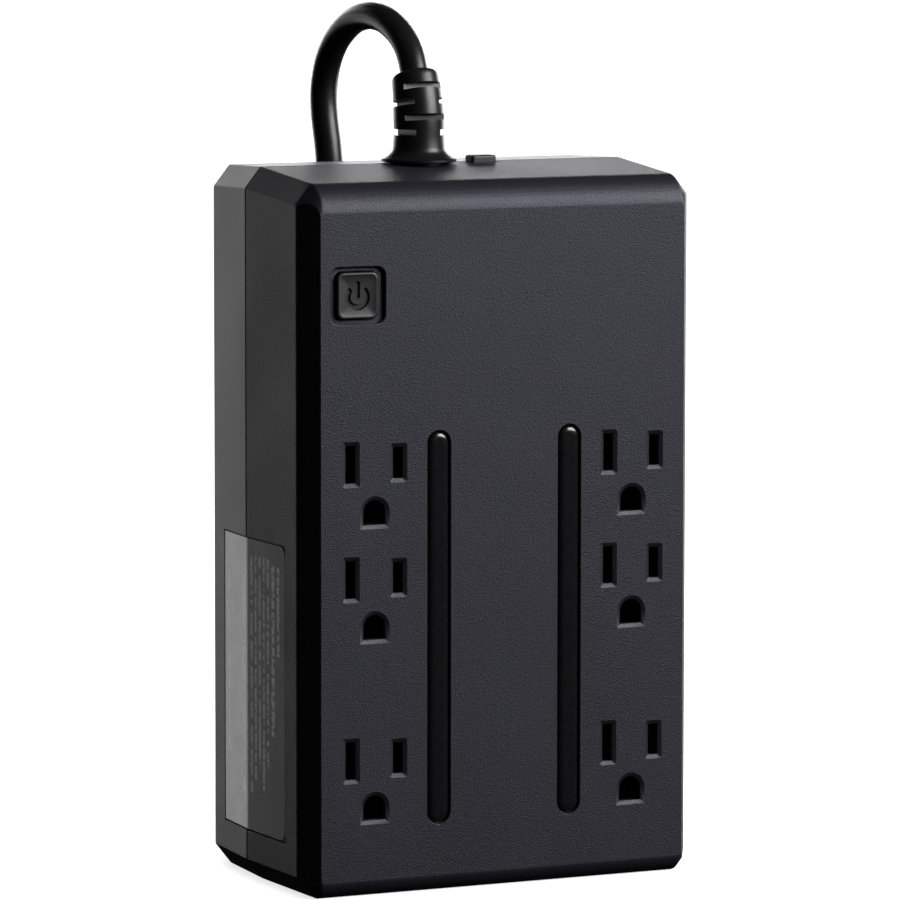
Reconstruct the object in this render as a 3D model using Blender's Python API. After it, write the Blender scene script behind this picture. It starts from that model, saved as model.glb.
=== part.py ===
"""A compact upright uninterruptible power supply: a two-shell plastic case with two columns of
three outlets, a power button, a circuit breaker and a mains lead, and what works inside it.

Metres, +Z up. The case stands on its base at z = 0 and its face looks along -Y. Depths are
counted from the face towards the back, and at_depth() turns one into a Y.
"""

import math

import bmesh
import bpy
from mathutils import Matrix, Vector

GAP = 0.0003  # between pieces that touch

# The case: two shells that meet at a seam round the sides.
CASE_WIDTH = 0.107  # at the seam, the widest place
CASE_HEIGHT = 0.177  # at the seam, the highest place
CASE_DEPTH = 0.082
FACE_WIDTH = 0.0988
WALL = 0.0024
FACE_WALL = 0.0026
SEAM_DEPTH = 0.0355
SEAM_GAP = 0.0005
TONGUE_LENGTH = 0.0015  # the front shell's inner lip, which goes into the rear shell
TONGUE_IN = 0.0013  # from the outside of the wall to the lip
FRONT_FLARE = 0.0004  # how much each side spreads from the shoulder to the seam
TOP_RISE = 0.0024  # how much the top rises from its fillet to the seam
SHOULDER_DEPTH = 0.006  # where the slanting edge of the face reaches the side
TOP_FILLET = 0.008
BASE_FILLET = 0.005
CORNER_IN = 0.0042  # the chamfer between side and top, measured across
CORNER_DOWN = 0.0052  # and downwards
BREAK_DEPTH = 0.060  # where the rear shell starts to taper
BREAK_DRAFT = 0.002  # how much each side has drawn in there
BREAK_FALL = 0.0008  # how much the top has come down there
BACK_IN = 0.0105  # how much more each side draws in from there to the back
BACK_FALL = 0.006  # and the top
BACK_RISE = 0.004  # and the base

# Rubber feet on the back, for a unit that lies down.
FOOT_DIAMETER = 0.012
FOOT_PROUD = 0.002
FOOT_SEAT = 0.0008
FOOT_SPREAD = 0.064
FOOT_LOW = 0.026
FOOT_HIGH = 0.152

# The outlets: two columns of three.
COLUMN_SPREAD = 0.070  # from column to column
TOP_ROW = 0.1065  # height of the top row's blade slots
ROW_DROPS = (0.0, 0.0281, 0.0725)  # from the top row down to each row
BLADE_SPACING = 0.0127
GROUND_DROP = 0.0119  # from the blade slots down to the ground hole
NEUTRAL_SLOT = (0.0026, 0.0092)
HOT_SLOT = (0.0026, 0.0076)
GROUND_HOLE = (0.0058, 0.0060)
SLOT_LIP = 0.0008

# The contacts behind them.
CARRIER_DEPTH = 0.0184
CARRIER_OVER = 0.0088  # above the top row and below the lowest ground hole
BUS_THICKNESS = 0.0008
BUS_DEPTH = 0.0185  # where the upright strip stands
CARRIER_RIM = 0.004
LEAF_ROOM = 0.0004
LEAF_START = 0.0055  # where the spring leaves begin
LEAF_HEIGHT = 0.0066
BLADE_GRIP = 0.0015  # between a blade's two leaves
PIN_GRIP = 0.0053  # between the ground pin's two leaves

# The glossy bars beside the outlets.
BAR_SPREAD = 0.0355
BAR_WIDTH = 0.0053
BAR_TOP_OVER = 0.0070  # above the top row's blade slots
BAR_LENGTH = 0.0961
BAR_DOME = 0.0006
BAR_RECESS = 0.0018
BAR_CLEARANCE = 0.0004

# The power button.
BUTTON_X = -0.0395
BUTTON_DROP = 0.0271  # from the top of the face down to its middle
BUTTON_SIZE = (0.0109, 0.0113)
BUTTON_RADIUS = 0.0016
BUTTON_POCKET = (0.0146, 0.0138)
BUTTON_POCKET_DEPTH = 0.0013
BUTTON_CLEARANCE = 0.00035
BUTTON_TRAVEL = 0.0010
BUTTON_STEM = 0.0095  # the depth that its stem reaches
BUTTON_STEM_SIZE = (0.004, 0.004)
BUTTON_COLLAR = (0.002, 0.0012)  # how much wider than the cap, and how thick
# Depth against distance in from the edge: the dish's floor, its rim and its outer edge.
BUTTON_DISH = ((0.0005, 0.0034), (0.0003, 0.0018), (0.0001, 0.0010), (0.0, 0.0005), (0.0004, 0.0))
SWITCH_SIZE = (0.006, 0.004, 0.006)
SWITCH_BOARD = (0.016, 0.0016, 0.018)
SWITCH_REST = 0.0005  # between a pressed stem and the switch

# The circuit breaker on the top seam.
BREAKER_X = 0.0105
BREAKER_BUTTON = (0.0068, 0.0046)
BREAKER_PROUD = 0.0015
BREAKER_WELL = 0.009  # how deep its button sits in the body
BREAKER_BODY = (0.012, 0.015, 0.026)
BREAKER_TRAVEL = 0.0025
BREAKER_CLEARANCE = 0.0003

# The mains lead and its strain relief.
CORD_DIAMETER = 0.0070
RELIEF_X = -0.0065
RELIEF_NECK = 0.0065  # radii from here on
RELIEF_FLANGE = 0.0094
RELIEF_FOOT = 0.0082
RELIEF_BODY = 0.0063
RELIEF_CORE = 0.0038
RELIEF_STRAIGHT = 0.008  # height where it starts to lean back
RELIEF_BEND = 0.038
RELIEF_LENGTH = 0.0223
RELIEF_SLOT = 0.0018
RELIEF_SLOTS = (0.0076, 0.0111, 0.0147, 0.0182)

COIL_MIDDLE = (0.0375, 0.133)  # across, and in depth
COIL_RADIUS = 0.0375
COIL_SECTION = (0.0144, 0.0204)
COIL_LIFT = 0.0015
TIE_THICKNESS = 0.0010
TIE_WIDTH = 0.008
TIE_ROOM = 0.0005
TIE_ANGLE = -30.0

# The plug on its far end, lying on the coil.
PLUG_BACK = (0.0251, 0.1551, 0.0315)  # the middle of its cord end: across, depth, height
PLUG_HEADING = 20.0
PLUG_TAPER = 0.015
PLUG_BODY = (0.036, 0.025, 0.019)
BLADE_SIZE = (0.0163, 0.0015, 0.0063)
PIN_LENGTH = 0.0185
PIN_DIAMETER = 0.0048

# The battery, and the screws that close the case.
BATTERY_SIZE = (0.079, 0.056, 0.099)
BATTERY_BASE = 0.0125
RIB_SPREAD = 0.030  # the ribs that it stands on
RIB_THICKNESS = 0.002
RIB_START = 0.040
BATTERY_PAD = (0.05, 0.0008, 0.05)
BATTERY_PAD_LOW = 0.045
BATTERY_EDGE = 0.0015
TERMINAL_SIZE = (0.0008, 0.0047, 0.0062)
TERMINAL_SPREAD = 0.060
TERMINAL_BACK = 0.008  # from the battery's front face
LEAD_DIAMETER = 0.0024
POST_SPREAD = 0.070
POST_LOW = 0.0085
POST_HIGH = 0.165
POST_RADIUS = 0.0026
POST_END = 0.070
BOSS_OVER = 0.0004  # how much wider the rear shell's bosses are
SCREW_RADIUS = 0.0014
SCREW_HEAD = 0.0026
SCREW_LENGTH = 0.018
SCREW_RECESS = 0.0026

# The transformer, on its shelf above the battery.
CORE_SIZE = (0.048, 0.024, 0.040)
CORE_LEG = 0.008
CORE_MIDDLE = (-0.014, 0.057)
SHELF_HEIGHT = 0.113
SHELF_THICKNESS = 0.0024
SHELF_START = 0.044  # its front edge

# The main board, upright beside the battery.
BOARD_THICKNESS = 0.0016
BOARD_DEPTHS = (0.024, 0.060)
BOARD_HEIGHTS = (0.030, 0.162)
RELAY_SIZE = (0.0155, 0.0155, 0.0160)
RELAY_DEPTH = 0.0505
RELAY_HEIGHTS = (0.1250, 0.1425)
CAPACITOR_RADIUS = 0.005
CAPACITOR_LENGTH = 0.016
CAPACITOR_DEPTHS = (0.0320, 0.0450)
CAPACITOR_HEIGHT = 0.1565
SINK_SIZE = (0.014, 0.012, 0.020)
SINK_PLACE = (0.0345, 0.137)  # depth and height of its middle
SINK_GAP = 0.0024  # between its fins
SINK_GAP_PITCH = 0.004
SINK_ROOT = 0.004
BUZZER_SIZE = (0.006, 0.006)  # radius and length
BUZZER_PLACE = (0.0420, 0.0850)

# The rating label on the left side, and the openings in the back.
LABEL_DEPTHS = (0.0135, 0.052)
LABEL_HEIGHTS = (0.0130, 0.0855)
LABEL_THICKNESS = 0.0002
LABEL_RECESS = 0.0006
LABEL_MARGIN = 0.0004
KEYHOLE_SPREAD = 0.036
KEYHOLE_HEIGHT = 0.138
KEYHOLE_RADIUS = 0.0042
KEYHOLE_SLOT = (0.0042, 0.009)
VENT_SIZE = (0.0022, 0.018)
VENT_PITCH = 0.006
VENT_COUNT = 9
VENT_ROWS = (0.028, 0.053)

# The lead's own route, as points across, in depth and in height: out of the strain relief,
# over and down behind the case, and onto the coil.
LEAD_ROUTE = (
    (-0.0065, 0.0383, 0.1993),
    (-0.0065, 0.0397, 0.2024),
    (-0.0065, 0.0425, 0.2057),
    (-0.0065, 0.0480, 0.2092),
    (-0.0065, 0.0560, 0.2118),
    (-0.0065, 0.0655, 0.2124),
    (-0.0065, 0.0750, 0.2106),
    (-0.0065, 0.0835, 0.2064),
    (-0.0065, 0.0895, 0.2008),
    (-0.0064, 0.0926, 0.1945),
    (-0.0063, 0.0931, 0.1890),
    (-0.0062, 0.0922, 0.1835),
    (-0.0061, 0.0908, 0.1780),
    (-0.0060, 0.0900, 0.1700),
    (-0.0057, 0.0900, 0.1450),
    (-0.0053, 0.0900, 0.1200),
    (-0.0049, 0.0900, 0.0950),
    (-0.0045, 0.0900, 0.0720),
    (-0.0042, 0.0902, 0.0560),
    (-0.0040, 0.0918, 0.0442),
    (-0.0038, 0.0970, 0.0350),
    (-0.0037, 0.1050, 0.0288),
    (-0.0036, 0.1140, 0.0263),
    (-0.0035, 0.1240, 0.0258),
)
# From the coil's top turn to the plug.
TAIL_ROUTE = (
    (0.0156, 0.1069, 0.0258),
    (0.0102, 0.1124, 0.0258),
    (0.0073, 0.1187, 0.0260),
    (0.0058, 0.1260, 0.0265),
    (0.0060, 0.1332, 0.0275),
    (0.0082, 0.1402, 0.0288),
    (0.0122, 0.1463, 0.0301),
    (0.0180, 0.1524, 0.0312),
    (0.0242, 0.1548, 0.0315),
)
# The battery's two leads to the board.
POSITIVE_ROUTE = (
    (0.0300, 0.0305, 0.1184),
    (0.0305, 0.0303, 0.1210),
    (0.0335, 0.0300, 0.1236),
    (0.0380, 0.0297, 0.1234),
    (0.0420, 0.0295, 0.1190),
    (0.0436, 0.0295, 0.1125),
    (0.0440, 0.0295, 0.1065),
    (0.0450, 0.0295, 0.1013),
    (0.0461, 0.0295, 0.1010),
)
NEGATIVE_ROUTE = (
    (-0.0300, 0.0305, 0.1184),
    (-0.0299, 0.0300, 0.1205),
    (-0.0270, 0.0285, 0.1226),
    (-0.0180, 0.0265, 0.1232),
    (-0.0050, 0.0258, 0.1228),
    (0.0100, 0.0256, 0.1228),
    (0.0250, 0.0256, 0.1232),
    (0.0360, 0.0256, 0.1220),
    (0.0415, 0.0256, 0.1160),
    (0.0432, 0.0256, 0.1065),
    (0.0440, 0.0257, 0.0960),
    (0.0450, 0.0260, 0.0922),
    (0.0461, 0.0260, 0.0920),
)

OVERALL_DEPTH = CASE_DEPTH + FOOT_PROUD
FRONT_Y = -OVERALL_DEPTH / 2
OVER = 0.001  # how far a cutter runs past what it cuts


def at_depth(depth):
    return FRONT_Y + depth


# ---------------------------------------------------------------- shapes and materials


def material(name, colour, roughness, metallic=0.0):
    found = bpy.data.materials.get(name)
    if found:
        return found
    made = bpy.data.materials.new(name)
    made.use_nodes = True
    shader = made.node_tree.nodes["Principled BSDF"]
    shader.inputs["Base Color"].default_value = (*colour, 1.0)
    shader.inputs["Roughness"].default_value = roughness
    shader.inputs["Metallic"].default_value = metallic
    return made


def black_plastic():
    return material("black_plastic", (0.035, 0.036, 0.038), 0.55)


def gloss_black():
    return material("gloss_black", (0.008, 0.008, 0.009), 0.12)


def black_rubber():
    return material("black_rubber", (0.02, 0.02, 0.02), 0.7)


def brass():
    return material("brass", (0.78, 0.55, 0.22), 0.3, 1.0)


def steel():
    return material("steel", (0.6, 0.6, 0.6), 0.35, 1.0)


def add_object(name, bm, look=None, parent=None):
    bmesh.ops.recalc_face_normals(bm, faces=bm.faces)
    mesh = bpy.data.meshes.new(name)
    bm.to_mesh(mesh)
    bm.free()
    made = bpy.data.objects.new(name, mesh)
    bpy.context.scene.collection.objects.link(made)
    if look:
        mesh.materials.append(look)
    if parent:
        made.parent = parent
        made.matrix_parent_inverse = parent.matrix_world.inverted()
    return made


def hide_as_helper(made):
    made.hide_render = True
    made.display_type = "WIRE"


def boolean(target, bm, operation="DIFFERENCE"):
    """Cuts the shape in bm from an object, or joins it on."""
    number = len(target.modifiers) + 1
    helper = add_object(f"{target.name}_helper_{number}", bm)
    hide_as_helper(helper)
    modifier = target.modifiers.new(f"{operation.lower()}_{number}", "BOOLEAN")
    modifier.object = helper
    modifier.operation = operation


def loft(rings, bm=None):
    """A closed solid through rings of points, which all have the same count."""
    bm = bm or bmesh.new()
    made = [[bm.verts.new(point) for point in ring] for ring in rings]
    count = len(rings[0])
    for low, high in zip(made, made[1:]):
        for i in range(count):
            j = (i + 1) % count
            bm.faces.new((low[i], low[j], high[j], high[i]))
    bm.faces.new(made[0][::-1])
    bm.faces.new(made[-1])
    return bm


def add_box(bm, x, y, z):
    """A box between the two values of each axis."""
    rings = []
    for height in z:
        rings.append([(x[0], y[0], height), (x[1], y[0], height), (x[1], y[1], height), (x[0], y[1], height)])
    return loft(rings, bm)


def box(x, y, z):
    return add_box(bmesh.new(), x, y, z)


def span(middle, length):
    return (middle - length / 2, middle + length / 2)


def rounded_rectangle(width, height, radius, steps=3):
    """Points of a rectangle with round corners, anticlockwise."""
    points = []
    for turn, (sx, sy) in enumerate(((1, 1), (-1, 1), (-1, -1), (1, -1))):
        for i in range(steps + 1):
            angle = math.radians(90 * (turn + i / steps))
            points.append(
                (
                    sx * (width / 2 - radius) + radius * math.cos(angle),
                    sy * (height / 2 - radius) + radius * math.sin(angle),
                )
            )
    return points


def arch(width, height, grow=0.0, steps=8):
    """Points of an opening with a round top and a flat foot."""
    radius = width / 2 + grow
    spring = height / 2 - width / 2
    points = [(radius * math.cos(a), spring + radius * math.sin(a)) for a in
              (math.pi * i / steps for i in range(steps + 1))]
    return points + [(-radius, -height / 2 - grow), (radius, -height / 2 - grow)]


def upright(points, depth, x=0.0, z=0.0):
    """An outline across and up, set at a depth."""
    return [(x + px, at_depth(depth), z + pz) for px, pz in points]


def circle(radius, steps):
    return [(radius * math.cos(2 * math.pi * i / steps), radius * math.sin(2 * math.pi * i / steps))
            for i in range(steps)]


def round_bar(bm, radius, depths, x, z, steps=12):
    """A round bar or hole that runs from front to back."""
    return loft([upright(circle(radius, steps), depth, x, z) for depth in depths], bm)


def smooth_line(points, spacing):
    """Evenly spaced points on a smooth curve through the route's own points."""
    ends = [2 * Vector(points[0]) - Vector(points[1]), 2 * Vector(points[-1]) - Vector(points[-2])]
    knots = [ends[0], *map(Vector, points), ends[1]]
    fine = []
    for a, b, c, d in zip(knots, knots[1:], knots[2:], knots[3:]):
        for i in range(24):
            t = i / 24
            fine.append(0.5 * (2 * b + (c - a) * t + (2 * a - 5 * b + 4 * c - d) * t**2
                               + (3 * b - a - 3 * c + d) * t**3))
    fine.append(knots[-2])
    lengths = [0.0]
    for a, b in zip(fine, fine[1:]):
        lengths.append(lengths[-1] + (b - a).length)
    count = max(2, round(lengths[-1] / spacing))
    line = []
    at = 0
    for i in range(count + 1):
        wanted = lengths[-1] * i / count
        while at < len(fine) - 2 and lengths[at + 1] < wanted:
            at += 1
        share = (wanted - lengths[at]) / max(lengths[at + 1] - lengths[at], 1e-9)
        line.append(fine[at].lerp(fine[at + 1], min(1.0, share)))
    return line


def cord_tube(name, route, diameter, look, spacing):
    places = [Vector((x, at_depth(depth), z)) for x, depth, z in route]
    line = smooth_line(places, spacing)
    # A short first and last step keep the end faces square to the route.
    line.insert(1, line[0] + (places[1] - places[0]).normalized() * diameter / 3)
    line.insert(-1, line[-1] + (places[-2] - places[-1]).normalized() * diameter / 3)
    curve = bpy.data.curves.new(name, "CURVE")
    curve.dimensions = "3D"
    curve.bevel_depth = diameter / 2
    curve.bevel_resolution = 3
    curve.use_fill_caps = True
    spline = curve.splines.new("POLY")
    spline.points.add(len(line) - 1)
    for point, place in zip(spline.points, line):
        point.co = (*place, 1.0)
    curve.materials.append(look)
    made = bpy.data.objects.new(name, curve)
    bpy.context.scene.collection.objects.link(made)
    return made


# ---------------------------------------------------------------- the case's own form


def top_height(depth, inside=0.0):
    front_top = CASE_HEIGHT - TOP_RISE
    if depth < TOP_FILLET:
        reach = max(0.0, (TOP_FILLET - inside) ** 2 - (TOP_FILLET - depth) ** 2)
        return front_top - TOP_FILLET + math.sqrt(reach)
    if depth <= SEAM_DEPTH:
        share = (depth - TOP_FILLET) / (SEAM_DEPTH - TOP_FILLET)
        return front_top + TOP_RISE * share - inside
    if depth <= BREAK_DEPTH:
        share = (depth - SEAM_DEPTH) / (BREAK_DEPTH - SEAM_DEPTH)
        return CASE_HEIGHT - BREAK_FALL * share - inside
    share = (depth - BREAK_DEPTH) / (CASE_DEPTH - BREAK_DEPTH)
    return CASE_HEIGHT - BREAK_FALL - BACK_FALL * share - inside


def base_height(depth, inside=0.0):
    if depth < BASE_FILLET:
        reach = max(0.0, (BASE_FILLET - inside) ** 2 - (BASE_FILLET - depth) ** 2)
        return BASE_FILLET - math.sqrt(reach)
    if depth <= BREAK_DEPTH:
        return inside
    share = (depth - BREAK_DEPTH) / (CASE_DEPTH - BREAK_DEPTH)
    return BACK_RISE * share + inside


def half_width(depth, inside=0.0):
    shoulder = CASE_WIDTH / 2 - FRONT_FLARE
    if depth < SHOULDER_DEPTH:
        return FACE_WIDTH / 2 + (shoulder - FACE_WIDTH / 2) * depth / SHOULDER_DEPTH - inside
    if depth <= SEAM_DEPTH:
        share = (depth - SHOULDER_DEPTH) / (SEAM_DEPTH - SHOULDER_DEPTH)
        return shoulder + FRONT_FLARE * share - inside
    if depth <= BREAK_DEPTH:
        share = (depth - SEAM_DEPTH) / (BREAK_DEPTH - SEAM_DEPTH)
        return CASE_WIDTH / 2 - BREAK_DRAFT * share - inside
    share = (depth - BREAK_DEPTH) / (CASE_DEPTH - BREAK_DEPTH)
    return CASE_WIDTH / 2 - BREAK_DRAFT - BACK_IN * share - inside


def case_ring(depth, inside=0.0):
    """The case's outline at a depth: a rectangle with chamfered corners, drawn in by inside."""
    half = half_width(depth, inside)
    top = top_height(depth, inside)
    base = base_height(depth, inside)
    grown = min(1.0, 0.15 + 0.85 * depth / SHOULDER_DEPTH)
    across = CORNER_IN * grown
    down = CORNER_DOWN * grown
    right = [(half, base + down), (half, top - down), (half - across, top)]
    left = [(-half + across, top), (-half, top - down), (-half, base + down)]
    foot = [(-half + across, base), (half - across, base)]
    return upright(right + left + foot, depth)


def case_solid(depths, inside=0.0):
    return loft([case_ring(depth, inside) for depth in depths])


def fillet_depths(inside=0.0):
    """Depths at even turns round the face's top fillet, with the shoulder among them."""
    radius = TOP_FILLET - inside
    turns = (0, 18, 36, 54, 72, 90)
    found = [TOP_FILLET - radius * math.cos(math.radians(a)) for a in turns]
    return sorted([*found, SHOULDER_DEPTH])


def row_heights():
    return [TOP_ROW - drop for drop in ROW_DROPS]


def column_places():
    return (-COLUMN_SPREAD / 2, COLUMN_SPREAD / 2)


def post_places():
    return [(x, z) for z in (POST_LOW, POST_HIGH) for x in (-POST_SPREAD / 2, POST_SPREAD / 2)]


def button_height():
    return CASE_HEIGHT - TOP_RISE - BUTTON_DROP


def slot_cutter(bm, outline, x, z):
    """A hole through the face with a slanting lip. outline gives its points, grown by a value."""
    rings = (
        (-OVER, SLOT_LIP + OVER),
        (SLOT_LIP, 0.0),
        (FACE_WALL + OVER, 0.0),
    )
    loft([upright(outline(grow), depth, x, z) for depth, grow in rings], bm)


def blade_outline(size):
    return lambda grow: rounded_rectangle(size[0] + 2 * grow, size[1] + 2 * grow, 0.0004 + grow, 2)


def outlet_cutters():
    bm = bmesh.new()
    for column in column_places():
        for row in row_heights():
            slot_cutter(bm, blade_outline(NEUTRAL_SLOT), column - BLADE_SPACING / 2, row)
            slot_cutter(bm, blade_outline(HOT_SLOT), column + BLADE_SPACING / 2, row)
            slot_cutter(bm, lambda grow: arch(*GROUND_HOLE, grow), column, row - GROUND_DROP)
    return bm


def bar_middle():
    return TOP_ROW + BAR_TOP_OVER - BAR_LENGTH / 2


def seam_openings():
    """The round hole for the strain relief and the square one for the breaker's button."""
    bm = bmesh.new()
    heights = (CASE_HEIGHT - 4 * WALL, CASE_HEIGHT + 0.01)
    hole = circle(RELIEF_NECK + GAP, 20)
    loft([[(RELIEF_X + x, at_depth(SEAM_DEPTH) + y, z) for x, y in hole] for z in heights], bm)
    width, depth = (side + 2 * BREAKER_CLEARANCE for side in BREAKER_BUTTON)
    add_box(bm, span(BREAKER_X, width), span(at_depth(SEAM_DEPTH), depth), heights)
    return bm


def label_recess():
    """A shallow seat for the label, which follows the two slants of the left side."""
    bm = bmesh.new()
    depths = (LABEL_DEPTHS[0] - LABEL_MARGIN, SEAM_DEPTH, LABEL_DEPTHS[1] + LABEL_MARGIN)
    rings = []
    for z in (LABEL_HEIGHTS[0] - LABEL_MARGIN, LABEL_HEIGHTS[1] + LABEL_MARGIN):
        inner = [(-half_width(depth, LABEL_RECESS), at_depth(depth), z) for depth in depths]
        outer = [(-CASE_WIDTH / 2 - OVER, at_depth(depth), z) for depth in depths[::-1]]
        rings.append(inner + outer)
    return loft(rings, bm)


# ---------------------------------------------------------------- the two shells


def make_front_cover():
    bm = case_solid([*fillet_depths(), SEAM_DEPTH])
    cover = add_object("front_cover", bm, black_plastic())
    boolean(cover, case_solid([SEAM_DEPTH - OVER, SEAM_DEPTH + TONGUE_LENGTH], TONGUE_IN), "UNION")
    inner = [d for d in fillet_depths(FACE_WALL) if d >= FACE_WALL]
    boolean(cover, case_solid([*inner, SEAM_DEPTH, SEAM_DEPTH + 2 * TONGUE_LENGTH], WALL))
    posts = bmesh.new()
    for x, z in post_places():
        round_bar(posts, POST_RADIUS, (FACE_WALL - OVER, POST_END), x, z)
    boolean(cover, posts, "UNION")
    holes = bmesh.new()
    for x, z in post_places():
        round_bar(holes, SCREW_RADIUS + GAP, (POST_END - SCREW_LENGTH, POST_END + OVER), x, z, 10)
    boolean(cover, holes)
    boolean(cover, outlet_cutters())
    boolean(cover, seam_openings())
    boolean(cover, label_recess())
    bars = bmesh.new()
    groove_width = BAR_WIDTH + 2 * BAR_CLEARANCE
    groove = rounded_rectangle(groove_width, BAR_LENGTH + 2 * BAR_CLEARANCE, groove_width / 2 - 1e-5, 6)
    for side in (-1, 1):
        x = side * BAR_SPREAD / 2
        loft([upright(groove, depth, x, bar_middle()) for depth in (-OVER, BAR_RECESS)], bars)
    boolean(cover, bars)
    pocket = bmesh.new()
    outer = rounded_rectangle(*BUTTON_POCKET, 0.0022)
    rings = [(-OVER, outer), (BUTTON_POCKET_DEPTH, outer)]
    loft([upright(points, depth, BUTTON_X, button_height()) for depth, points in rings], pocket)
    boolean(cover, pocket)
    well = bmesh.new()
    size = [side + 2 * BUTTON_CLEARANCE for side in BUTTON_SIZE]
    hole = rounded_rectangle(*size, BUTTON_RADIUS + BUTTON_CLEARANCE)
    depths = (BUTTON_POCKET_DEPTH - OVER / 2, FACE_WALL + OVER)
    loft([upright(hole, depth, BUTTON_X, button_height()) for depth in depths], well)
    boolean(cover, well)
    return cover


def make_rear_cover():
    start = SEAM_DEPTH + SEAM_GAP
    cover = add_object("rear_cover", case_solid([start, BREAK_DEPTH, CASE_DEPTH]), black_plastic())
    lip_end = SEAM_DEPTH + TONGUE_LENGTH + GAP
    boolean(cover, case_solid([start - OVER, lip_end], TONGUE_IN - GAP))
    boolean(cover, case_solid([start - OVER, BREAK_DEPTH, CASE_DEPTH - WALL], WALL))
    inner = bmesh.new()
    back = CASE_DEPTH - WALL / 2
    for x, z in post_places():
        round_bar(inner, POST_RADIUS + BOSS_OVER, (POST_END + GAP, back), x, z)
    for x in (-RIB_SPREAD, 0.0, RIB_SPREAD):
        rib_depths = (at_depth(RIB_START), at_depth(BREAK_DEPTH))
        add_box(inner, span(x, RIB_THICKNESS), rib_depths, (WALL / 2, BATTERY_BASE - GAP))
    shelf_x = span(CORE_MIDDLE[0], CORE_SIZE[0])
    shelf_z = (SHELF_HEIGHT, SHELF_HEIGHT + SHELF_THICKNESS)
    add_box(inner, shelf_x, (at_depth(SHELF_START), at_depth(back)), shelf_z)
    boolean(cover, inner, "UNION")
    holes = bmesh.new()
    head_depth = CASE_DEPTH - SCREW_RECESS
    for x, z in post_places():
        rings = [(POST_END - OVER, SCREW_RADIUS + GAP), (head_depth, SCREW_RADIUS + GAP),
                 (head_depth, SCREW_HEAD + GAP), (CASE_DEPTH + OVER, SCREW_HEAD + GAP)]
        loft([upright(circle(radius, 12), depth, x, z) for depth, radius in rings], holes)
    boolean(cover, holes)
    boolean(cover, seam_openings())
    boolean(cover, label_recess())
    back_cuts = bmesh.new()
    through = (CASE_DEPTH - 2 * WALL, CASE_DEPTH + OVER)
    for x in (-KEYHOLE_SPREAD / 2, KEYHOLE_SPREAD / 2):
        loft([upright(keyhole(), depth, x, KEYHOLE_HEIGHT) for depth in through], back_cuts)
    for i in range(VENT_COUNT):
        x = (i - (VENT_COUNT - 1) / 2) * VENT_PITCH
        slot = rounded_rectangle(*VENT_SIZE, VENT_SIZE[0] / 2 - 1e-5)
        for z in VENT_ROWS:
            loft([upright(slot, depth, x, z) for depth in through], back_cuts)
    boolean(cover, back_cuts)
    seats = bmesh.new()
    for x, z in foot_places():
        round_bar(seats, FOOT_DIAMETER / 2 + GAP, (CASE_DEPTH - FOOT_SEAT - GAP, CASE_DEPTH + OVER), x, z, 20)
    boolean(cover, seats)
    return cover


def keyhole():
    """A round hole for a screw's head with a narrow slot above it."""
    half = KEYHOLE_SLOT[0] / 2
    start = math.asin(half / KEYHOLE_RADIUS)
    sweep = 2 * math.pi - 2 * start
    points = []
    for i in range(15):
        angle = math.pi / 2 + start + sweep * i / 14
        points.append((KEYHOLE_RADIUS * math.cos(angle), KEYHOLE_RADIUS * math.sin(angle)))
    for i in range(7):
        angle = math.pi * i / 6
        points.append((half * math.cos(angle), KEYHOLE_SLOT[1] + half * math.sin(angle)))
    return points


def foot_places():
    return [(x, z) for z in (FOOT_LOW, FOOT_HIGH) for x in (-FOOT_SPREAD / 2, FOOT_SPREAD / 2)]


# ---------------------------------------------------------------- what is on the face


def make_bars():
    """Glossy domed strips that fill the two grooves."""
    for side, name in ((-1, "backup_bar"), (1, "surge_bar")):
        rings = []
        for depth, inset in ((BAR_RECESS - GAP, 0.0), (BAR_DOME, 0.0), (BAR_DOME * 0.3, 0.0005), (0.0, 0.0016)):
            width = BAR_WIDTH - 2 * inset
            outline = rounded_rectangle(width, BAR_LENGTH - 2 * inset, width / 2 - 1e-5, 6)
            rings.append(upright(outline, depth, side * BAR_SPREAD / 2, bar_middle()))
        add_object(name, loft(rings), gloss_black())


def make_power_button():
    """The cap has a raised rim round a dish, a collar behind the face, and a stem."""
    width, height = BUTTON_SIZE
    rings = []
    for depth, inset in (*BUTTON_DISH, (FACE_WALL + GAP, 0.0)):
        radius = max(0.0004, BUTTON_RADIUS - inset * 0.6)
        outline = rounded_rectangle(width - 2 * inset, height - 2 * inset, radius)
        rings.append(upright(outline, depth))
    collar = rounded_rectangle(width + BUTTON_COLLAR[0], height + BUTTON_COLLAR[0], BUTTON_RADIUS)
    collar_back = FACE_WALL + GAP + BUTTON_COLLAR[1]
    rings += [upright(collar, depth) for depth in (FACE_WALL + GAP, collar_back)]
    stem = rounded_rectangle(*BUTTON_STEM_SIZE, BUTTON_STEM_SIZE[0] / 6)
    rings += [upright(stem, depth) for depth in (collar_back, BUTTON_STEM)]
    moved = Matrix.Translation((0.0, -FRONT_Y, 0.0))
    bm = loft(rings)
    bm.transform(moved)
    made = add_object("power_button", bm, black_plastic())
    made.location = (BUTTON_X, FRONT_Y, button_height())
    front = BUTTON_STEM + BUTTON_TRAVEL + SWITCH_REST
    back = front + SWITCH_SIZE[1]
    x = span(BUTTON_X, SWITCH_SIZE[0])
    switch = box(x, (at_depth(front), at_depth(back)), span(button_height(), SWITCH_SIZE[2]))
    add_object("power_switch", switch, material("switch_body", (0.02, 0.02, 0.02), 0.4))
    wide, thick, tall = SWITCH_BOARD
    board_depths = (at_depth(back + GAP), at_depth(back + GAP + thick))
    board = box(span(BUTTON_X, wide), board_depths, span(button_height(), tall))
    add_object("switch_board", board, material("board", (0.02, 0.12, 0.05), 0.5))


# ---------------------------------------------------------------- the outlets' contacts


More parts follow.
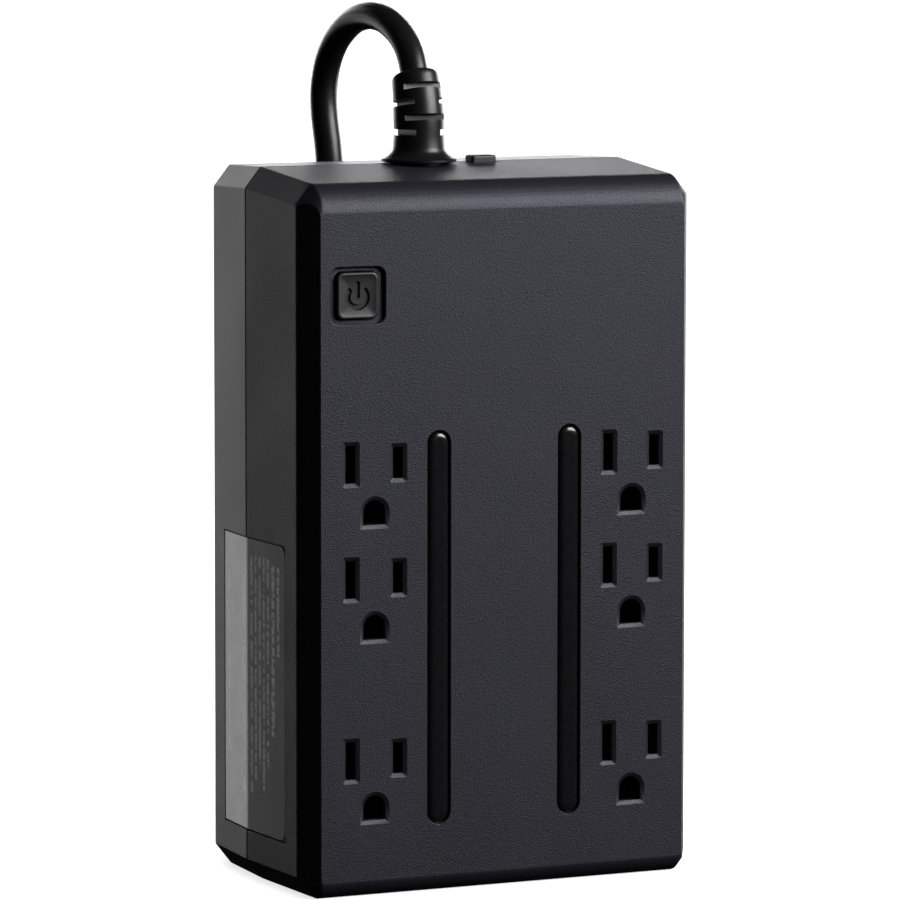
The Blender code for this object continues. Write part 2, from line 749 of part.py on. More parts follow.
def make_outlet_column(x, name):
    """A moulded carrier with three upright brass strips, and a pair of leaves at each outlet."""
    front = FACE_WALL + GAP
    back = front + CARRIER_DEPTH
    low = row_heights()[-1] - GROUND_DROP - CARRIER_OVER
    reach = half_width(front, WALL) - GAP - COLUMN_SPREAD / 2  # from the carrier's middle to its outer side
    block = box((x - reach, x + reach), (at_depth(front), at_depth(back)), (low, TOP_ROW + CARRIER_OVER))
    carrier = add_object(f"outlet_carrier_{name}", block, material("carrier", (0.75, 0.74, 0.7), 0.5))
    strips = (
        ("neutral", -BLADE_SPACING / 2, 0.0, BLADE_GRIP, NEUTRAL_SLOT[1]),
        ("hot", BLADE_SPACING / 2, 0.0, BLADE_GRIP, HOT_SLOT[1]),
        ("ground", 0.0, -GROUND_DROP, PIN_GRIP, GROUND_HOLE[1]),
    )
    pockets = bmesh.new()
    for kind, shift, drop, grip, tall in strips:
        middle = x + shift
        width = grip + 2 * BUS_THICKNESS + 2 * LEAF_ROOM
        ends = (row_heights()[-1] + drop - LEAF_HEIGHT / 2, TOP_ROW + drop + LEAF_HEIGHT / 2)
        strip = box(span(middle, width), (at_depth(BUS_DEPTH), at_depth(BUS_DEPTH + BUS_THICKNESS)), ends)
        bus = add_object(f"{kind}_bus_{name}", strip, brass())
        leaves = bmesh.new()
        depths = (at_depth(LEAF_START), at_depth(BUS_DEPTH + BUS_THICKNESS / 2))
        for row in row_heights():
            for side in (-1, 1):
                leaf = span(middle + side * (grip + BUS_THICKNESS) / 2, BUS_THICKNESS)
                add_box(leaves, leaf, depths, span(row + drop, LEAF_HEIGHT))
            pocket_y = (at_depth(front - OVER), at_depth(BUS_DEPTH))
            add_box(pockets, span(middle, width), pocket_y, span(row + drop, tall + 4 * LEAF_ROOM))
        boolean(bus, leaves, "UNION")
    boolean(carrier, pockets)
    recess_x = span(x, BLADE_SPACING + BLADE_GRIP + 2 * BUS_THICKNESS + 4 * LEAF_ROOM)
    recess_z = (low + CARRIER_RIM, TOP_ROW + CARRIER_OVER - CARRIER_RIM)
    boolean(carrier, box(recess_x, (at_depth(BUS_DEPTH - LEAF_ROOM), at_depth(back + OVER)), recess_z))


# ---------------------------------------------------------------- breaker and strain relief


def make_breaker():
    width, depth, height = BREAKER_BODY
    under = top_height(SEAM_DEPTH - depth / 2, WALL) - GAP
    body_box = box(span(BREAKER_X, width), span(at_depth(SEAM_DEPTH), depth), (under - height, under))
    body = add_object("breaker_body", body_box, material("breaker", (0.03, 0.03, 0.03), 0.45))
    size = [side + 2 * BREAKER_CLEARANCE for side in BREAKER_BUTTON]
    button_low = under - BREAKER_WELL
    well = box(span(BREAKER_X, size[0]), span(at_depth(SEAM_DEPTH), size[1]), (button_low - GAP, under + OVER))
    boolean(body, well)
    rings = []
    top = CASE_HEIGHT + BREAKER_PROUD
    for z, inset in ((button_low, 0.0), (top - 0.0005, 0.0), (top, 0.0005)):
        outline = rounded_rectangle(BREAKER_BUTTON[0] - 2 * inset, BREAKER_BUTTON[1] - 2 * inset, 0.0006)
        rings.append([(px, py, z - CASE_HEIGHT) for px, py in outline])
    reset = add_object("breaker_reset", loft(rings), black_plastic())
    reset.location = (BREAKER_X, at_depth(SEAM_DEPTH), CASE_HEIGHT)


def relief_place(height):
    """The middle of the strain relief at a length along it, and how far it leans back there."""
    if height <= RELIEF_STRAIGHT:
        return Vector((RELIEF_X, at_depth(SEAM_DEPTH), CASE_HEIGHT + height)), 0.0
    lean = (height - RELIEF_STRAIGHT) / RELIEF_BEND
    back = RELIEF_BEND * (1 - math.cos(lean))
    up = RELIEF_STRAIGHT + RELIEF_BEND * math.sin(lean)
    return Vector((RELIEF_X, at_depth(SEAM_DEPTH) + back, CASE_HEIGHT + up)), lean


def relief_ring(height, radius, steps=20):
    place, lean = relief_place(height)
    turn = Matrix.Rotation(-lean, 3, "X")
    return [place + turn @ Vector((x, y, 0.0)) for x, y in circle(radius, steps)]


def make_strain_relief():
    """A rubber sleeve held in the seam by two flanges, slotted in pairs so that it can flex."""
    seat = GAP
    hidden = top_height(SEAM_DEPTH - RELIEF_FLANGE) - CASE_HEIGHT - WALL - GAP
    profile = (
        (hidden - 0.0016, RELIEF_FLANGE - 0.0006),
        (hidden, RELIEF_FLANGE - 0.0006),
        (hidden, RELIEF_NECK),
        (seat, RELIEF_NECK),
        (seat, RELIEF_FLANGE),
        (seat + 0.0009, RELIEF_FLANGE),
        (seat + 0.0012, RELIEF_FLANGE - 0.0003),
        (seat + 0.0014, RELIEF_FOOT),
        (0.0062, RELIEF_BODY),
        (0.0116, RELIEF_BODY - 0.0001),
        (0.0160, RELIEF_BODY - 0.0003),
        (0.0202, RELIEF_BODY - 0.0005),
        (RELIEF_LENGTH - 0.0014, RELIEF_BODY - 0.0006),
        (RELIEF_LENGTH - 0.0005, RELIEF_BODY - 0.0010),
        (RELIEF_LENGTH, RELIEF_BODY - 0.0022),
    )
    sleeve = add_object("strain_relief", loft([relief_ring(*step) for step in profile]), black_rubber())
    cuts = bmesh.new()
    reach = RELIEF_FLANGE
    for number, height in enumerate(RELIEF_SLOTS):
        place, lean = relief_place(height)
        turn = Matrix.Translation(place) @ Matrix.Rotation(-lean, 4, "X")
        for side in (-1, 1):
            near, far = sorted((side * RELIEF_CORE, side * reach))
            slot = box((near, far), (-reach, reach), span(0.0, RELIEF_SLOT))
            if number % 2:
                slot.transform(Matrix.Rotation(math.pi / 2, 4, "Z"))
            slot.transform(turn)
            copied = bpy.data.meshes.new("slot")
            slot.to_mesh(copied)
            slot.free()
            cuts.from_mesh(copied)
            bpy.data.meshes.remove(copied)
    boolean(sleeve, cuts)


# ---------------------------------------------------------------- the lead, its coil and its plug


def make_cord():
    make_cord_tube = ((LEAD_ROUTE, "power_cord"), (TAIL_ROUTE, "power_cord_tail"))
    for route, name in make_cord_tube:
        cord_tube(name, route, CORD_DIAMETER, black_rubber(), 2.2 * CORD_DIAMETER)
    middle = Vector((COIL_MIDDLE[0], at_depth(COIL_MIDDLE[1]), 0.0))
    width, height = COIL_SECTION
    section = rounded_rectangle(width, height, 0.003, 2)
    bm = bmesh.new()
    steps = 40
    rings = []
    for i in range(steps):
        angle = 2 * math.pi * i / steps
        out = Vector((math.cos(angle), math.sin(angle), 0.0))
        lift = Vector((0.0, 0.0, COIL_LIFT + height / 2))
        rings.append([bm.verts.new(middle + out * (COIL_RADIUS + r) + lift + Vector((0, 0, z))) for r, z in section])
    for low, high in zip(rings, rings[1:] + rings[:1]):
        for i in range(len(section)):
            j = (i + 1) % len(section)
            bm.faces.new((low[i], low[j], high[j], high[i]))
    add_object("cord_coil", bm, black_rubber())


def make_tie():
    """A band round the coil's bundle of turns."""
    middle = Vector((COIL_MIDDLE[0], at_depth(COIL_MIDDLE[1]), 0.0))
    width, height = COIL_SECTION
    low = COIL_LIFT - GAP
    across = span(COIL_RADIUS, width + 2 * TIE_ROOM)
    outer = span(COIL_RADIUS, width + 2 * TIE_ROOM + 2 * TIE_THICKNESS)
    top = COIL_LIFT + height + GAP
    along = span(0.0, TIE_WIDTH)
    band = box(outer, along, (low - TIE_THICKNESS, top + TIE_THICKNESS))
    hole = box(across, (-TIE_WIDTH, TIE_WIDTH), (low, top))
    turn = Matrix.Translation(middle) @ Matrix.Rotation(math.radians(TIE_ANGLE), 4, "Z")
    band.transform(turn)
    hole.transform(turn)
    tie = add_object("cord_tie", band, material("tie", (0.02, 0.02, 0.02), 0.6))
    boolean(tie, hole)


def make_plug():
    """A moulded grounding plug. It is made along +X from its cord end, then laid in place."""
    x, depth, z = PLUG_BACK
    place = Matrix.Translation((x, at_depth(depth), z))
    place = place @ Matrix.Rotation(math.radians(PLUG_HEADING), 4, "Z")
    length, width, height = PLUG_BODY
    radius = CORD_DIAMETER / 2
    rings = (
        (0.0, 2 * radius + 0.0012, 2 * radius + 0.0012, radius + 0.0005),
        (PLUG_TAPER * 0.85, 0.0105, 0.0105, 0.0052),
        (PLUG_TAPER, 0.0125, 0.0118, 0.0050),
        (PLUG_TAPER + 0.010, 0.0185, 0.0160, 0.0050),
        (PLUG_TAPER + 0.022, width - 0.001, height - 0.0005, 0.0050),
        (PLUG_TAPER + length - 0.003, width, height, 0.0050),
        (PLUG_TAPER + length, width - 0.0012, height - 0.0012, 0.0044),
    )
    points = []
    for along, wide, tall, corner in rings:
        corner = min(corner, min(wide, tall) / 2 - 1e-5)
        points.append([(along, px, pz) for px, pz in rounded_rectangle(wide, tall, corner, 4)])
    body = loft(points)
    body.transform(place)
    add_object("plug_body", body, black_rubber())
    face = PLUG_TAPER + length + GAP
    long, thin, tall = BLADE_SIZE
    for side, name in ((-1, "plug_blade_hot"), (1, "plug_blade_neutral")):
        blade = box((face, face + long), span(side * BLADE_SPACING / 2, thin), span(0.0025, tall))
        blade.transform(place)
        add_object(name, blade, brass())
    pin = []
    for along, radius in ((face, PIN_DIAMETER / 2), (face + PIN_LENGTH - 0.0015, PIN_DIAMETER / 2),
                          (face + PIN_LENGTH, PIN_DIAMETER / 2 - 0.0011)):
        pin.append([(along, px, pz - GROUND_DROP + 0.0065) for px, pz in circle(radius, 14)])
    pin = loft(pin)
    pin.transform(place)
    add_object("plug_ground_pin", pin, brass())


# ---------------------------------------------------------------- battery and electronics


def make_battery():
    width, depth, height = BATTERY_SIZE
    pad_wide, pad_thick, pad_tall = BATTERY_PAD
    back = CASE_DEPTH - WALL - pad_thick - 2 * GAP
    front = back - depth
    body = box(span(0.0, width), (at_depth(front), at_depth(back)), (BATTERY_BASE, BATTERY_BASE + height))
    battery = add_object("battery", body, material("battery", (0.05, 0.05, 0.055), 0.5))
    bevel = battery.modifiers.new("edges", "BEVEL")
    bevel.width = BATTERY_EDGE
    bevel.segments = 2
    pad_depths = (at_depth(back + GAP), at_depth(back + GAP + pad_thick))
    pad = box(span(0.0, pad_wide), pad_depths, (BATTERY_PAD_LOW, BATTERY_PAD_LOW + pad_tall))
    add_object("battery_pad", pad, material("foam", (0.08, 0.08, 0.08), 0.9))
    thick, wide, tall = TERMINAL_SIZE
    low = BATTERY_BASE + height + GAP
    terminal_depth = at_depth(front + TERMINAL_BACK)
    for side, name in ((1, "positive"), (-1, "negative")):
        x = side * TERMINAL_SPREAD / 2
        terminal = box(span(x, thick), span(terminal_depth, wide), (low, low + tall - GAP))
        add_object(f"battery_terminal_{name}", terminal, brass())
    red = material("red_lead", (0.5, 0.02, 0.02), 0.4)
    for route, name, look in ((POSITIVE_ROUTE, "positive", red), (NEGATIVE_ROUTE, "negative", black_rubber())):
        cord_tube(f"battery_lead_{name}", route, LEAD_DIAMETER, look, 0.006)


def make_transformer():
    x, depth = CORE_MIDDLE
    width, stack, height = CORE_SIZE
    low = SHELF_HEIGHT + SHELF_THICKNESS + GAP
    middle = low + height / 2
    core = add_object("transformer_core", box(span(x, width), span(at_depth(depth), stack), (low, low + height)),
                      material("laminations", (0.12, 0.12, 0.13), 0.5, 0.6))
    windows = bmesh.new()
    window = (width - 4 * CORE_LEG) / 2
    for side in (-1, 1):
        place = x + side * (CORE_LEG + window / 2)
        add_box(windows, span(place, window), span(at_depth(depth), stack + 2 * OVER),
                span(middle, height - 2 * CORE_LEG))
    boolean(core, windows)
    reach = window - 2 * GAP
    outer = 2 * CORE_LEG + 2 * GAP + 2 * reach
    deep = stack + 2 * GAP + 2 * reach
    tall = height - 2 * CORE_LEG - 2 * GAP
    winding = add_object("transformer_winding", box(span(x, outer), span(at_depth(depth), deep), span(middle, tall)),
                         material("winding_tape", (0.55, 0.38, 0.06), 0.5))
    hole = box(span(x, 2 * CORE_LEG + 2 * GAP), span(at_depth(depth), stack + 2 * GAP),
               span(middle, tall + 2 * OVER))
    boolean(winding, hole)


def make_board():
    """The board stands along the right wall, with its parts towards the middle of the case."""
    board_back = half_width(max(BOARD_DEPTHS), WALL) - GAP
    board_face = board_back - BOARD_THICKNESS
    x = (board_face, board_back)
    depths = tuple(at_depth(depth) for depth in BOARD_DEPTHS)
    add_object("main_board", box(x, depths, BOARD_HEIGHTS), material("board", (0.02, 0.12, 0.05), 0.5))
    seat = board_face - GAP
    tall, wide, high = RELAY_SIZE
    for number, z in enumerate(RELAY_HEIGHTS, 1):
        relay = box((seat - tall, seat), span(at_depth(RELAY_DEPTH), wide), span(z, high))
        add_object(f"relay_{number}", relay, material("relay", (0.02, 0.05, 0.16), 0.4))
    steps = 16
    for number, depth in enumerate(CAPACITOR_DEPTHS, 1):
        can = [(at_depth(depth) + py, CAPACITOR_HEIGHT + pz) for py, pz in circle(CAPACITOR_RADIUS, steps)]
        rings = [[(x, y, z) for y, z in can] for x in (seat - CAPACITOR_LENGTH, seat)]
        add_object(f"capacitor_{number}", loft(rings), material("capacitor", (0.03, 0.03, 0.06), 0.35))
    out, wide, tall = SINK_SIZE
    sink_box = box((seat - out, seat), span(at_depth(SINK_PLACE[0]), wide), span(SINK_PLACE[1], tall))
    sink = add_object("heat_sink", sink_box, material("aluminium", (0.55, 0.56, 0.58), 0.4, 1.0))
    gaps = bmesh.new()
    for shift in (-SINK_GAP_PITCH, 0.0, SINK_GAP_PITCH):
        gap_x = (seat - out - OVER, seat - SINK_ROOT)
        add_box(gaps, gap_x, span(at_depth(SINK_PLACE[0] + shift), SINK_GAP), span(SINK_PLACE[1], tall + 2 * OVER))
    boolean(sink, gaps)
    can = [(at_depth(BUZZER_PLACE[0]) + py, BUZZER_PLACE[1] + pz) for py, pz in circle(BUZZER_SIZE[0], steps)]
    rings = [[(x, y, z) for y, z in can] for x in (seat - BUZZER_SIZE[1], seat)]
    add_object("buzzer", loft(rings), material("buzzer", (0.015, 0.015, 0.015), 0.4))


# ---------------------------------------------------------------- label, screws and feet


def make_label():
    """A thin sticker in its seat, folded over the seam with the case's side."""
    rings = []
    depths = (LABEL_DEPTHS[0], SEAM_DEPTH, LABEL_DEPTHS[1])
    for z in LABEL_HEIGHTS:
        inner = [(-half_width(d, LABEL_RECESS - GAP), at_depth(d), z) for d in depths]
        outer = [(-half_width(d, LABEL_RECESS - GAP - LABEL_THICKNESS), at_depth(d), z) for d in depths[::-1]]
        rings.append(inner + outer)
    add_object("side_label", loft(rings), material("label", (0.09, 0.09, 0.095), 0.3))


def make_screws():
    head_depth = CASE_DEPTH - SCREW_RECESS + GAP
    tip = POST_END - SCREW_LENGTH + GAP
    for number, (x, z) in enumerate(post_places(), 1):
        rings = ((tip, SCREW_RADIUS * 0.6), (tip + 0.001, SCREW_RADIUS), (head_depth, SCREW_RADIUS),
                 (head_depth, SCREW_HEAD), (head_depth + 0.0012, SCREW_HEAD), (head_depth + 0.0018, SCREW_HEAD * 0.6))
        shape = loft([upright(circle(radius, 12), depth, x, z) for depth, radius in rings])
        add_object(f"case_screw_{number}", shape, steel())


def make_feet():
    for number, (x, z) in enumerate(foot_places(), 1):
        radius = FOOT_DIAMETER / 2
        rings = ((CASE_DEPTH - FOOT_SEAT, radius), (CASE_DEPTH + FOOT_PROUD - 0.0006, radius),
                 (CASE_DEPTH + FOOT_PROUD, radius - 0.0006))
        shape = loft([upright(circle(r, 20), depth, x, z) for depth, r in rings])
        add_object(f"rubber_foot_{number}", shape, black_rubber())


for leftover in list(bpy.data.objects):
    bpy.data.objects.remove(leftover)
make_front_cover()
make_rear_cover()
make_bars()
make_power_button()
for place, side_name in zip(column_places(), ("left", "right")):
    make_outlet_column(place, side_name)
make_breaker()
make_strain_relief()
make_cord()
make_tie()
make_plug()
make_battery()
make_transformer()
make_board()
make_label()
make_screws()
make_feet()
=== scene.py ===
import math

import bmesh
import bpy
from mathutils import Matrix, Vector


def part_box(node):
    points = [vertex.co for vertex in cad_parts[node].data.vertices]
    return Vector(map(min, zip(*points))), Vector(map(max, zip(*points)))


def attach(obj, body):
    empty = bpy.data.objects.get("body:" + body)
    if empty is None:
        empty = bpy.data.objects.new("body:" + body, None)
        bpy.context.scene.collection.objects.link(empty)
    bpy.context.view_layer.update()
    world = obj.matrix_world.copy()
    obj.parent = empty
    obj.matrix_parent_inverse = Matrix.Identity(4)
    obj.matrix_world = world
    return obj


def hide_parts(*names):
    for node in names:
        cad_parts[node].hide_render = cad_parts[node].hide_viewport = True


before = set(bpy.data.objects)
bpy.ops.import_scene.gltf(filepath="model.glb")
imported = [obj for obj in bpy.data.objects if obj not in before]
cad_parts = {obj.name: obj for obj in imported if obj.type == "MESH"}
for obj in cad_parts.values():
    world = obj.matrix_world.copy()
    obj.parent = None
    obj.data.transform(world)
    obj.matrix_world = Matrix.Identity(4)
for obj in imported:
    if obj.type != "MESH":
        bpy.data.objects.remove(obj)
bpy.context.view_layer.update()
show = bpy.context.scene.collection.objects.link

# ---------------------------------------------------------------- rear cover
# The back half of the case is one injection moulding in textured black ABS, 2.4 mm thick.
# Its back tapers in, and carries two keyholes for wall screws, two rows of vents and the seats
# of four feet. A rebate round its front edge takes the front cover's tongue.

WALL = 0.0024
CASE_HALF = 0.0535
CASE_TOP = 0.177
SEAM = 0.0355
SEAM_GAP = 0.0005
FACE_HALF = 0.0494
SHOULDER = 0.006
TOP_FILLET = 0.008
BASE_FILLET = 0.005
BREAK = 0.060
BACK = 0.082
CORNER_IN = 0.0042
CORNER_DOWN = 0.0052
EDGE_RADIUS = 0.0006
BEND_EASE = 0.0007
PAST = 0.001
KEYHOLE_X = 0.018
KEYHOLE_Z = 0.138
KEYHOLE_HEAD = 0.0042
KEYHOLE_SLOT = 0.0021
KEYHOLE_RISE = 0.009
VENT_COLUMNS = 9
VENT_PITCH = 0.006
VENT_ROWS = (0.028, 0.053)
VENT_SIZE = (0.0022, 0.018)
FOOT_RADIUS = 0.0060
SCREW_HEAD_RADIUS = 0.0026
LABEL_DEPTHS = (0.0135, 0.0520)
LABEL_HEIGHTS = (0.0130, 0.0855)
LABEL_GAP = 0.0004
FACE_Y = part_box("front_cover")[0][1]


def sloping_edge(places, depth):
    """A height or half width that runs straight between places, eased at each bend."""
    for (d0, v0), (d1, v1) in zip(places, places[1:]):
        if depth <= d1 or (d1, v1) == places[-1]:
            value = v0 + (v1 - v0) * (depth - d0) / (d1 - d0)
            break
    for (d0, v0), (d1, v1), (d2, v2) in zip(places, places[1:], places[2:]):
        if abs(depth - d1) < BEND_EASE:
            before = (v1 - v0) / (d1 - d0)
            after = (v2 - v1) / (d2 - d1)
            turn = (after - before) * (depth - d1 + BEND_EASE) ** 2 / (4 * BEND_EASE)
            value = v1 + before * (depth - d1) + turn
    return value


def half_width(depth, inside=0.0):
    places = ((0.0, FACE_HALF), (SHOULDER, CASE_HALF - 0.0004), (SEAM, CASE_HALF),
              (BREAK, CASE_HALF - 0.002), (BACK, CASE_HALF - 0.0125))
    if not inside and depth < 0.48 * EDGE_RADIUS:
        return FACE_HALF - 0.56 * EDGE_RADIUS + math.sqrt(EDGE_RADIUS**2 - (EDGE_RADIUS - depth) ** 2)
    return sloping_edge(places, depth) - inside


def top_height(depth, inside=0.0):
    flat = CASE_TOP - 0.0024
    if depth < TOP_FILLET:
        reach = (TOP_FILLET - inside) ** 2 - (TOP_FILLET - depth) ** 2
        return flat - TOP_FILLET + math.sqrt(max(0.0, reach))
    places = ((TOP_FILLET, flat), (SEAM, CASE_TOP), (BREAK, CASE_TOP - 0.0008), (BACK, CASE_TOP - 0.0068))
    return sloping_edge(places, depth) - inside


def base_height(depth, inside=0.0):
    if depth < BASE_FILLET:
        reach = (BASE_FILLET - inside) ** 2 - (BASE_FILLET - depth) ** 2
        return BASE_FILLET - math.sqrt(max(0.0, reach))
    return sloping_edge(((BASE_FILLET, 0.0), (BREAK, 0.0), (BACK, 0.004)), depth) + inside


def at(depth):
    return FACE_Y + depth


def rounded_corners(corners, radius, steps=4):
    """A closed outline with each corner turned on a small radius."""
    points = []
    for before, corner, after in zip(corners[-1:] + corners[:-1], corners, corners[1:] + corners[:1]):
        into = (Vector(before) - Vector(corner)).normalized()
        out = (Vector(after) - Vector(corner)).normalized()
        room = min((Vector(before) - Vector(corner)).length, (Vector(after) - Vector(corner)).length)
        turn = math.pi - into.angle(out)
        reach = min(radius * math.tan(turn / 2), 0.4 * room)
        start = Vector(corner) + into * reach
        end = Vector(corner) + out * reach
        for i in range(steps + 1):
            t = i / steps
            points.append(start * (1 - t) ** 2 + Vector(corner) * (2 * t * (1 - t)) + end * t**2)
    return points


def case_outline(depth, inside=0.0, drawn_in=0.0):
    """The case's outline at a depth: upright sides, a level top and base, and slanting corners."""
    half = half_width(depth, inside) - drawn_in
    top = top_height(depth, inside) - drawn_in
    base = base_height(depth, inside) + drawn_in
    grown = min(1.0, 0.15 + 0.85 * depth / SHOULDER)
    across = CORNER_IN * grown
    down = CORNER_DOWN * grown
    corners = [(half, base + down), (half, top - down), (half - across, top), (-half + across, top),
               (-half, top - down), (-half, base + down), (-half + across, base), (half - across, base)]
    flat = rounded_corners(corners, 0.0001 if inside else 0.0008)
    return [Vector((p.x, at(depth), p.y)) for p in flat]


def loft(rings, bm=None):
    """A closed solid through rings of points of the same count."""
    bm = bm or bmesh.new()
    made = [[bm.verts.new(point) for point in ring] for ring in rings]
    count = len(rings[0])
    for low, high in zip(made, made[1:]):
        for i in range(count):
            j = (i + 1) % count
            bm.faces.new((low[i], low[j], high[j], high[i]))
    bm.faces.new(made[0][::-1])
    bm.faces.new(made[-1])
    return bm


def block(x, y, z, bm=None):
    rings = []
    for height in z:
        rings.append([(x[0], y[0], height), (x[1], y[0], height), (x[1], y[1], height), (x[0], y[1], height)])
    return loft(rings, bm)


def span(middle, length):
    return (middle - length / 2, middle + length / 2)


def round_outline(radius, steps):
    return [(radius * math.cos(2 * math.pi * i / steps), radius * math.sin(2 * math.pi * i / steps))
            for i in range(steps)]


def oblong(width, height, radius, steps=5):
    """Points of a rectangle with round corners."""
    points = []
    for turn, (sx, sy) in enumerate(((1, 1), (-1, 1), (-1, -1), (1, -1))):
        for i in range(steps + 1):
            angle = math.radians(90 * (turn + i / steps))
            points.append((sx * (width / 2 - radius) + radius * math.cos(angle),
                           sy * (height / 2 - radius) + radius * math.sin(angle)))
    return points


def facing(points, depth, x=0.0, z=0.0):
    """A flat outline stood upright at a depth, facing the front."""
    return [(x + px, at(depth), z + pz) for px, pz in points]


def turned_solid(profile, x, z, sides, bm=None):
    """A round solid along the case's depth, through (depth, radius) steps."""
    return loft([facing(round_outline(radius, sides), depth, x, z) for depth, radius in profile], bm)


def moulding(name, bm, finish):
    bmesh.ops.recalc_face_normals(bm, faces=bm.faces)
    mesh = bpy.data.meshes.new(name)
    bm.to_mesh(mesh)
    bm.free()
    piece = bpy.data.objects.new(name, mesh)
    show(piece)
    if finish:
        mesh.materials.append(finish)
    return piece


def machine(piece, cuts):
    """Cuts or joins each (operation, shape) in turn, and leaves one plain mesh."""
    helpers = []
    for operation, bm in cuts:
        helper = moulding("helper", bm, None)
        helpers.append(helper)
        step = piece.modifiers.new(operation, "BOOLEAN")
        step.operation = operation
        step.solver = "EXACT"
        step.object = helper
    settled = bpy.data.meshes.new_from_object(piece.evaluated_get(bpy.context.evaluated_depsgraph_get()))
    piece.modifiers.clear()
    piece.data = settled
    for helper in helpers:
        bpy.data.objects.remove(helper)
    return piece


def smooth(piece, crease=32):
    """Soft shading that stays flat across broad faces and breaks at creases."""
    piece.data.shade_smooth()
    piece.data.set_sharp_from_angle(angle=math.radians(crease))
    even = piece.modifiers.new("even_shading", "WEIGHTED_NORMAL")
    even.keep_sharp = True
    return piece


def finish_material(name, **values):
    made = bpy.data.materials.new(name)
    made.use_nodes = True
    shader = made.node_tree.nodes["Principled BSDF"]
    for socket, value in values.items():
        shader.inputs[socket.replace("_", " ")].default_value = value
    return made, made.node_tree, shader


def node(tree, kind, **settings):
    made = tree.nodes.new("ShaderNode" + kind)
    for key, value in settings.items():
        setattr(made, key, value)
    return made


def maths(tree, operation, a, b=None, c=None):
    made = node(tree, "Math", operation=operation)
    for i, value in enumerate((a, b, c)):
        if value is None:
            continue
        if hasattr(value, "is_linked") or hasattr(value, "links"):
            tree.links.new(value, made.inputs[i])
        else:
            made.inputs[i].default_value = value
    return made.outputs[0]


def pattern(tree, kind, place, values, **settings):
    """A texture node fed with this place, with these input values."""
    made = node(tree, kind, **settings)
    for socket, value in values.items():
        made.inputs[socket].default_value = value
    tree.links.new(place, made.inputs["Vector"])
    return made


def two_tones(tree, driver, first, last, places=(0.0, 1.0)):
    """A colour that runs from one tone to another."""
    ramp = node(tree, "ValToRGB")
    for stop, place, tone in zip(ramp.color_ramp.elements, places, (first, last)):
        stop.position = place
        stop.color = (*tone, 1.0)
    tree.links.new(driver, ramp.inputs[0])
    return ramp.outputs[0]


def dress(tree, shader, colour, rough, height, distance):
    """Sets a surface's colour, its (pattern, share, least) roughness and its raised pattern."""
    tree.links.new(colour, shader.inputs["Base Color"])
    tree.links.new(maths(tree, "MULTIPLY_ADD", *rough), shader.inputs["Roughness"])
    bump = node(tree, "Bump")
    bump.inputs["Distance"].default_value = distance
    tree.links.new(height, bump.inputs["Height"])
    tree.links.new(bump.outputs[0], shader.inputs["Normal"])


def spark_grain_group():
    """The mould's spark-eroded texture: fine pits, with a slow drift in tone and gloss."""
    group = bpy.data.node_groups.new("spark_grain", "ShaderNodeTree")
    sides = {"INPUT": {"Pit Size": "Float", "Depth": "Float", "Tone": "Color", "Gloss": "Float"},
             "OUTPUT": {"Color": "Color", "Roughness": "Float", "Normal": "Vector"}}
    for side, sockets in sides.items():
        for socket, kind in sockets.items():
            group.interface.new_socket(name=socket, in_out=side, socket_type="NodeSocket" + kind)
    given, made = group.nodes.new("NodeGroupInput"), group.nodes.new("NodeGroupOutput")
    link = group.links.new
    place = node(group, "TexCoord").outputs["Object"]
    scale = maths(group, "DIVIDE", 1.0, given.outputs["Pit Size"])
    pits = pattern(group, "TexVoronoi", place, {"Smoothness": 0.6}, feature="SMOOTH_F1")
    link(scale, pits.inputs["Scale"])
    fine = pattern(group, "TexNoise", place, {"Detail": 3.0, "Roughness": 0.6})
    link(maths(group, "MULTIPLY", scale, 0.9), fine.inputs["Scale"])
    slow = pattern(group, "TexNoise", place, {"Scale": 38.0, "Detail": 2.0})
    height = maths(group, "ADD", pits.outputs["Distance"], fine.outputs[0])
    bump = node(group, "Bump")
    bump.inputs["Strength"].default_value = 1.0
    link(given.outputs["Depth"], bump.inputs["Distance"])
    link(height, bump.inputs["Height"])
    shade = maths(group, "MULTIPLY_ADD", fine.outputs[0], 0.5, 0.75)
    shade = maths(group, "MULTIPLY_ADD", slow.outputs[0], 0.24, maths(group, "SUBTRACT", shade, 0.12))
    tone = node(group, "VectorMath", operation="SCALE")
    link(given.outputs["Tone"], tone.inputs[0])
    link(shade, tone.inputs["Scale"])
    rough = maths(group, "MULTIPLY_ADD", slow.outputs[0], 0.10, given.outputs["Gloss"])
    rough = maths(group, "MULTIPLY_ADD", fine.outputs[0], 0.08, rough)
    link(tone.outputs[0], made.inputs["Color"])
    link(rough, made.inputs["Roughness"])
    link(bump.outputs[0], made.inputs["Normal"])
    return group


SPARK_GRAIN = spark_grain_group()


def grained(name, tone, gloss, pit=0.00045, depth=0.00002, specular=0.5, tint=(1.0, 1.0, 1.0)):
    """A plastic or rubber with the mould's fine texture on it."""
    made, tree, shader = finish_material(name, Specular_IOR_Level=specular, Specular_Tint=(*tint, 1.0))
    grain = node(tree, "Group", node_tree=SPARK_GRAIN)
    grain.inputs["Pit Size"].default_value = pit
    grain.inputs["Depth"].default_value = depth
    grain.inputs["Tone"].default_value = (*tone, 1.0)
    grain.inputs["Gloss"].default_value = gloss
    tree.links.new(grain.outputs["Color"], shader.inputs["Base Color"])
    tree.links.new(grain.outputs["Roughness"], shader.inputs["Roughness"])
    tree.links.new(grain.outputs["Normal"], shader.inputs["Normal"])
    return made


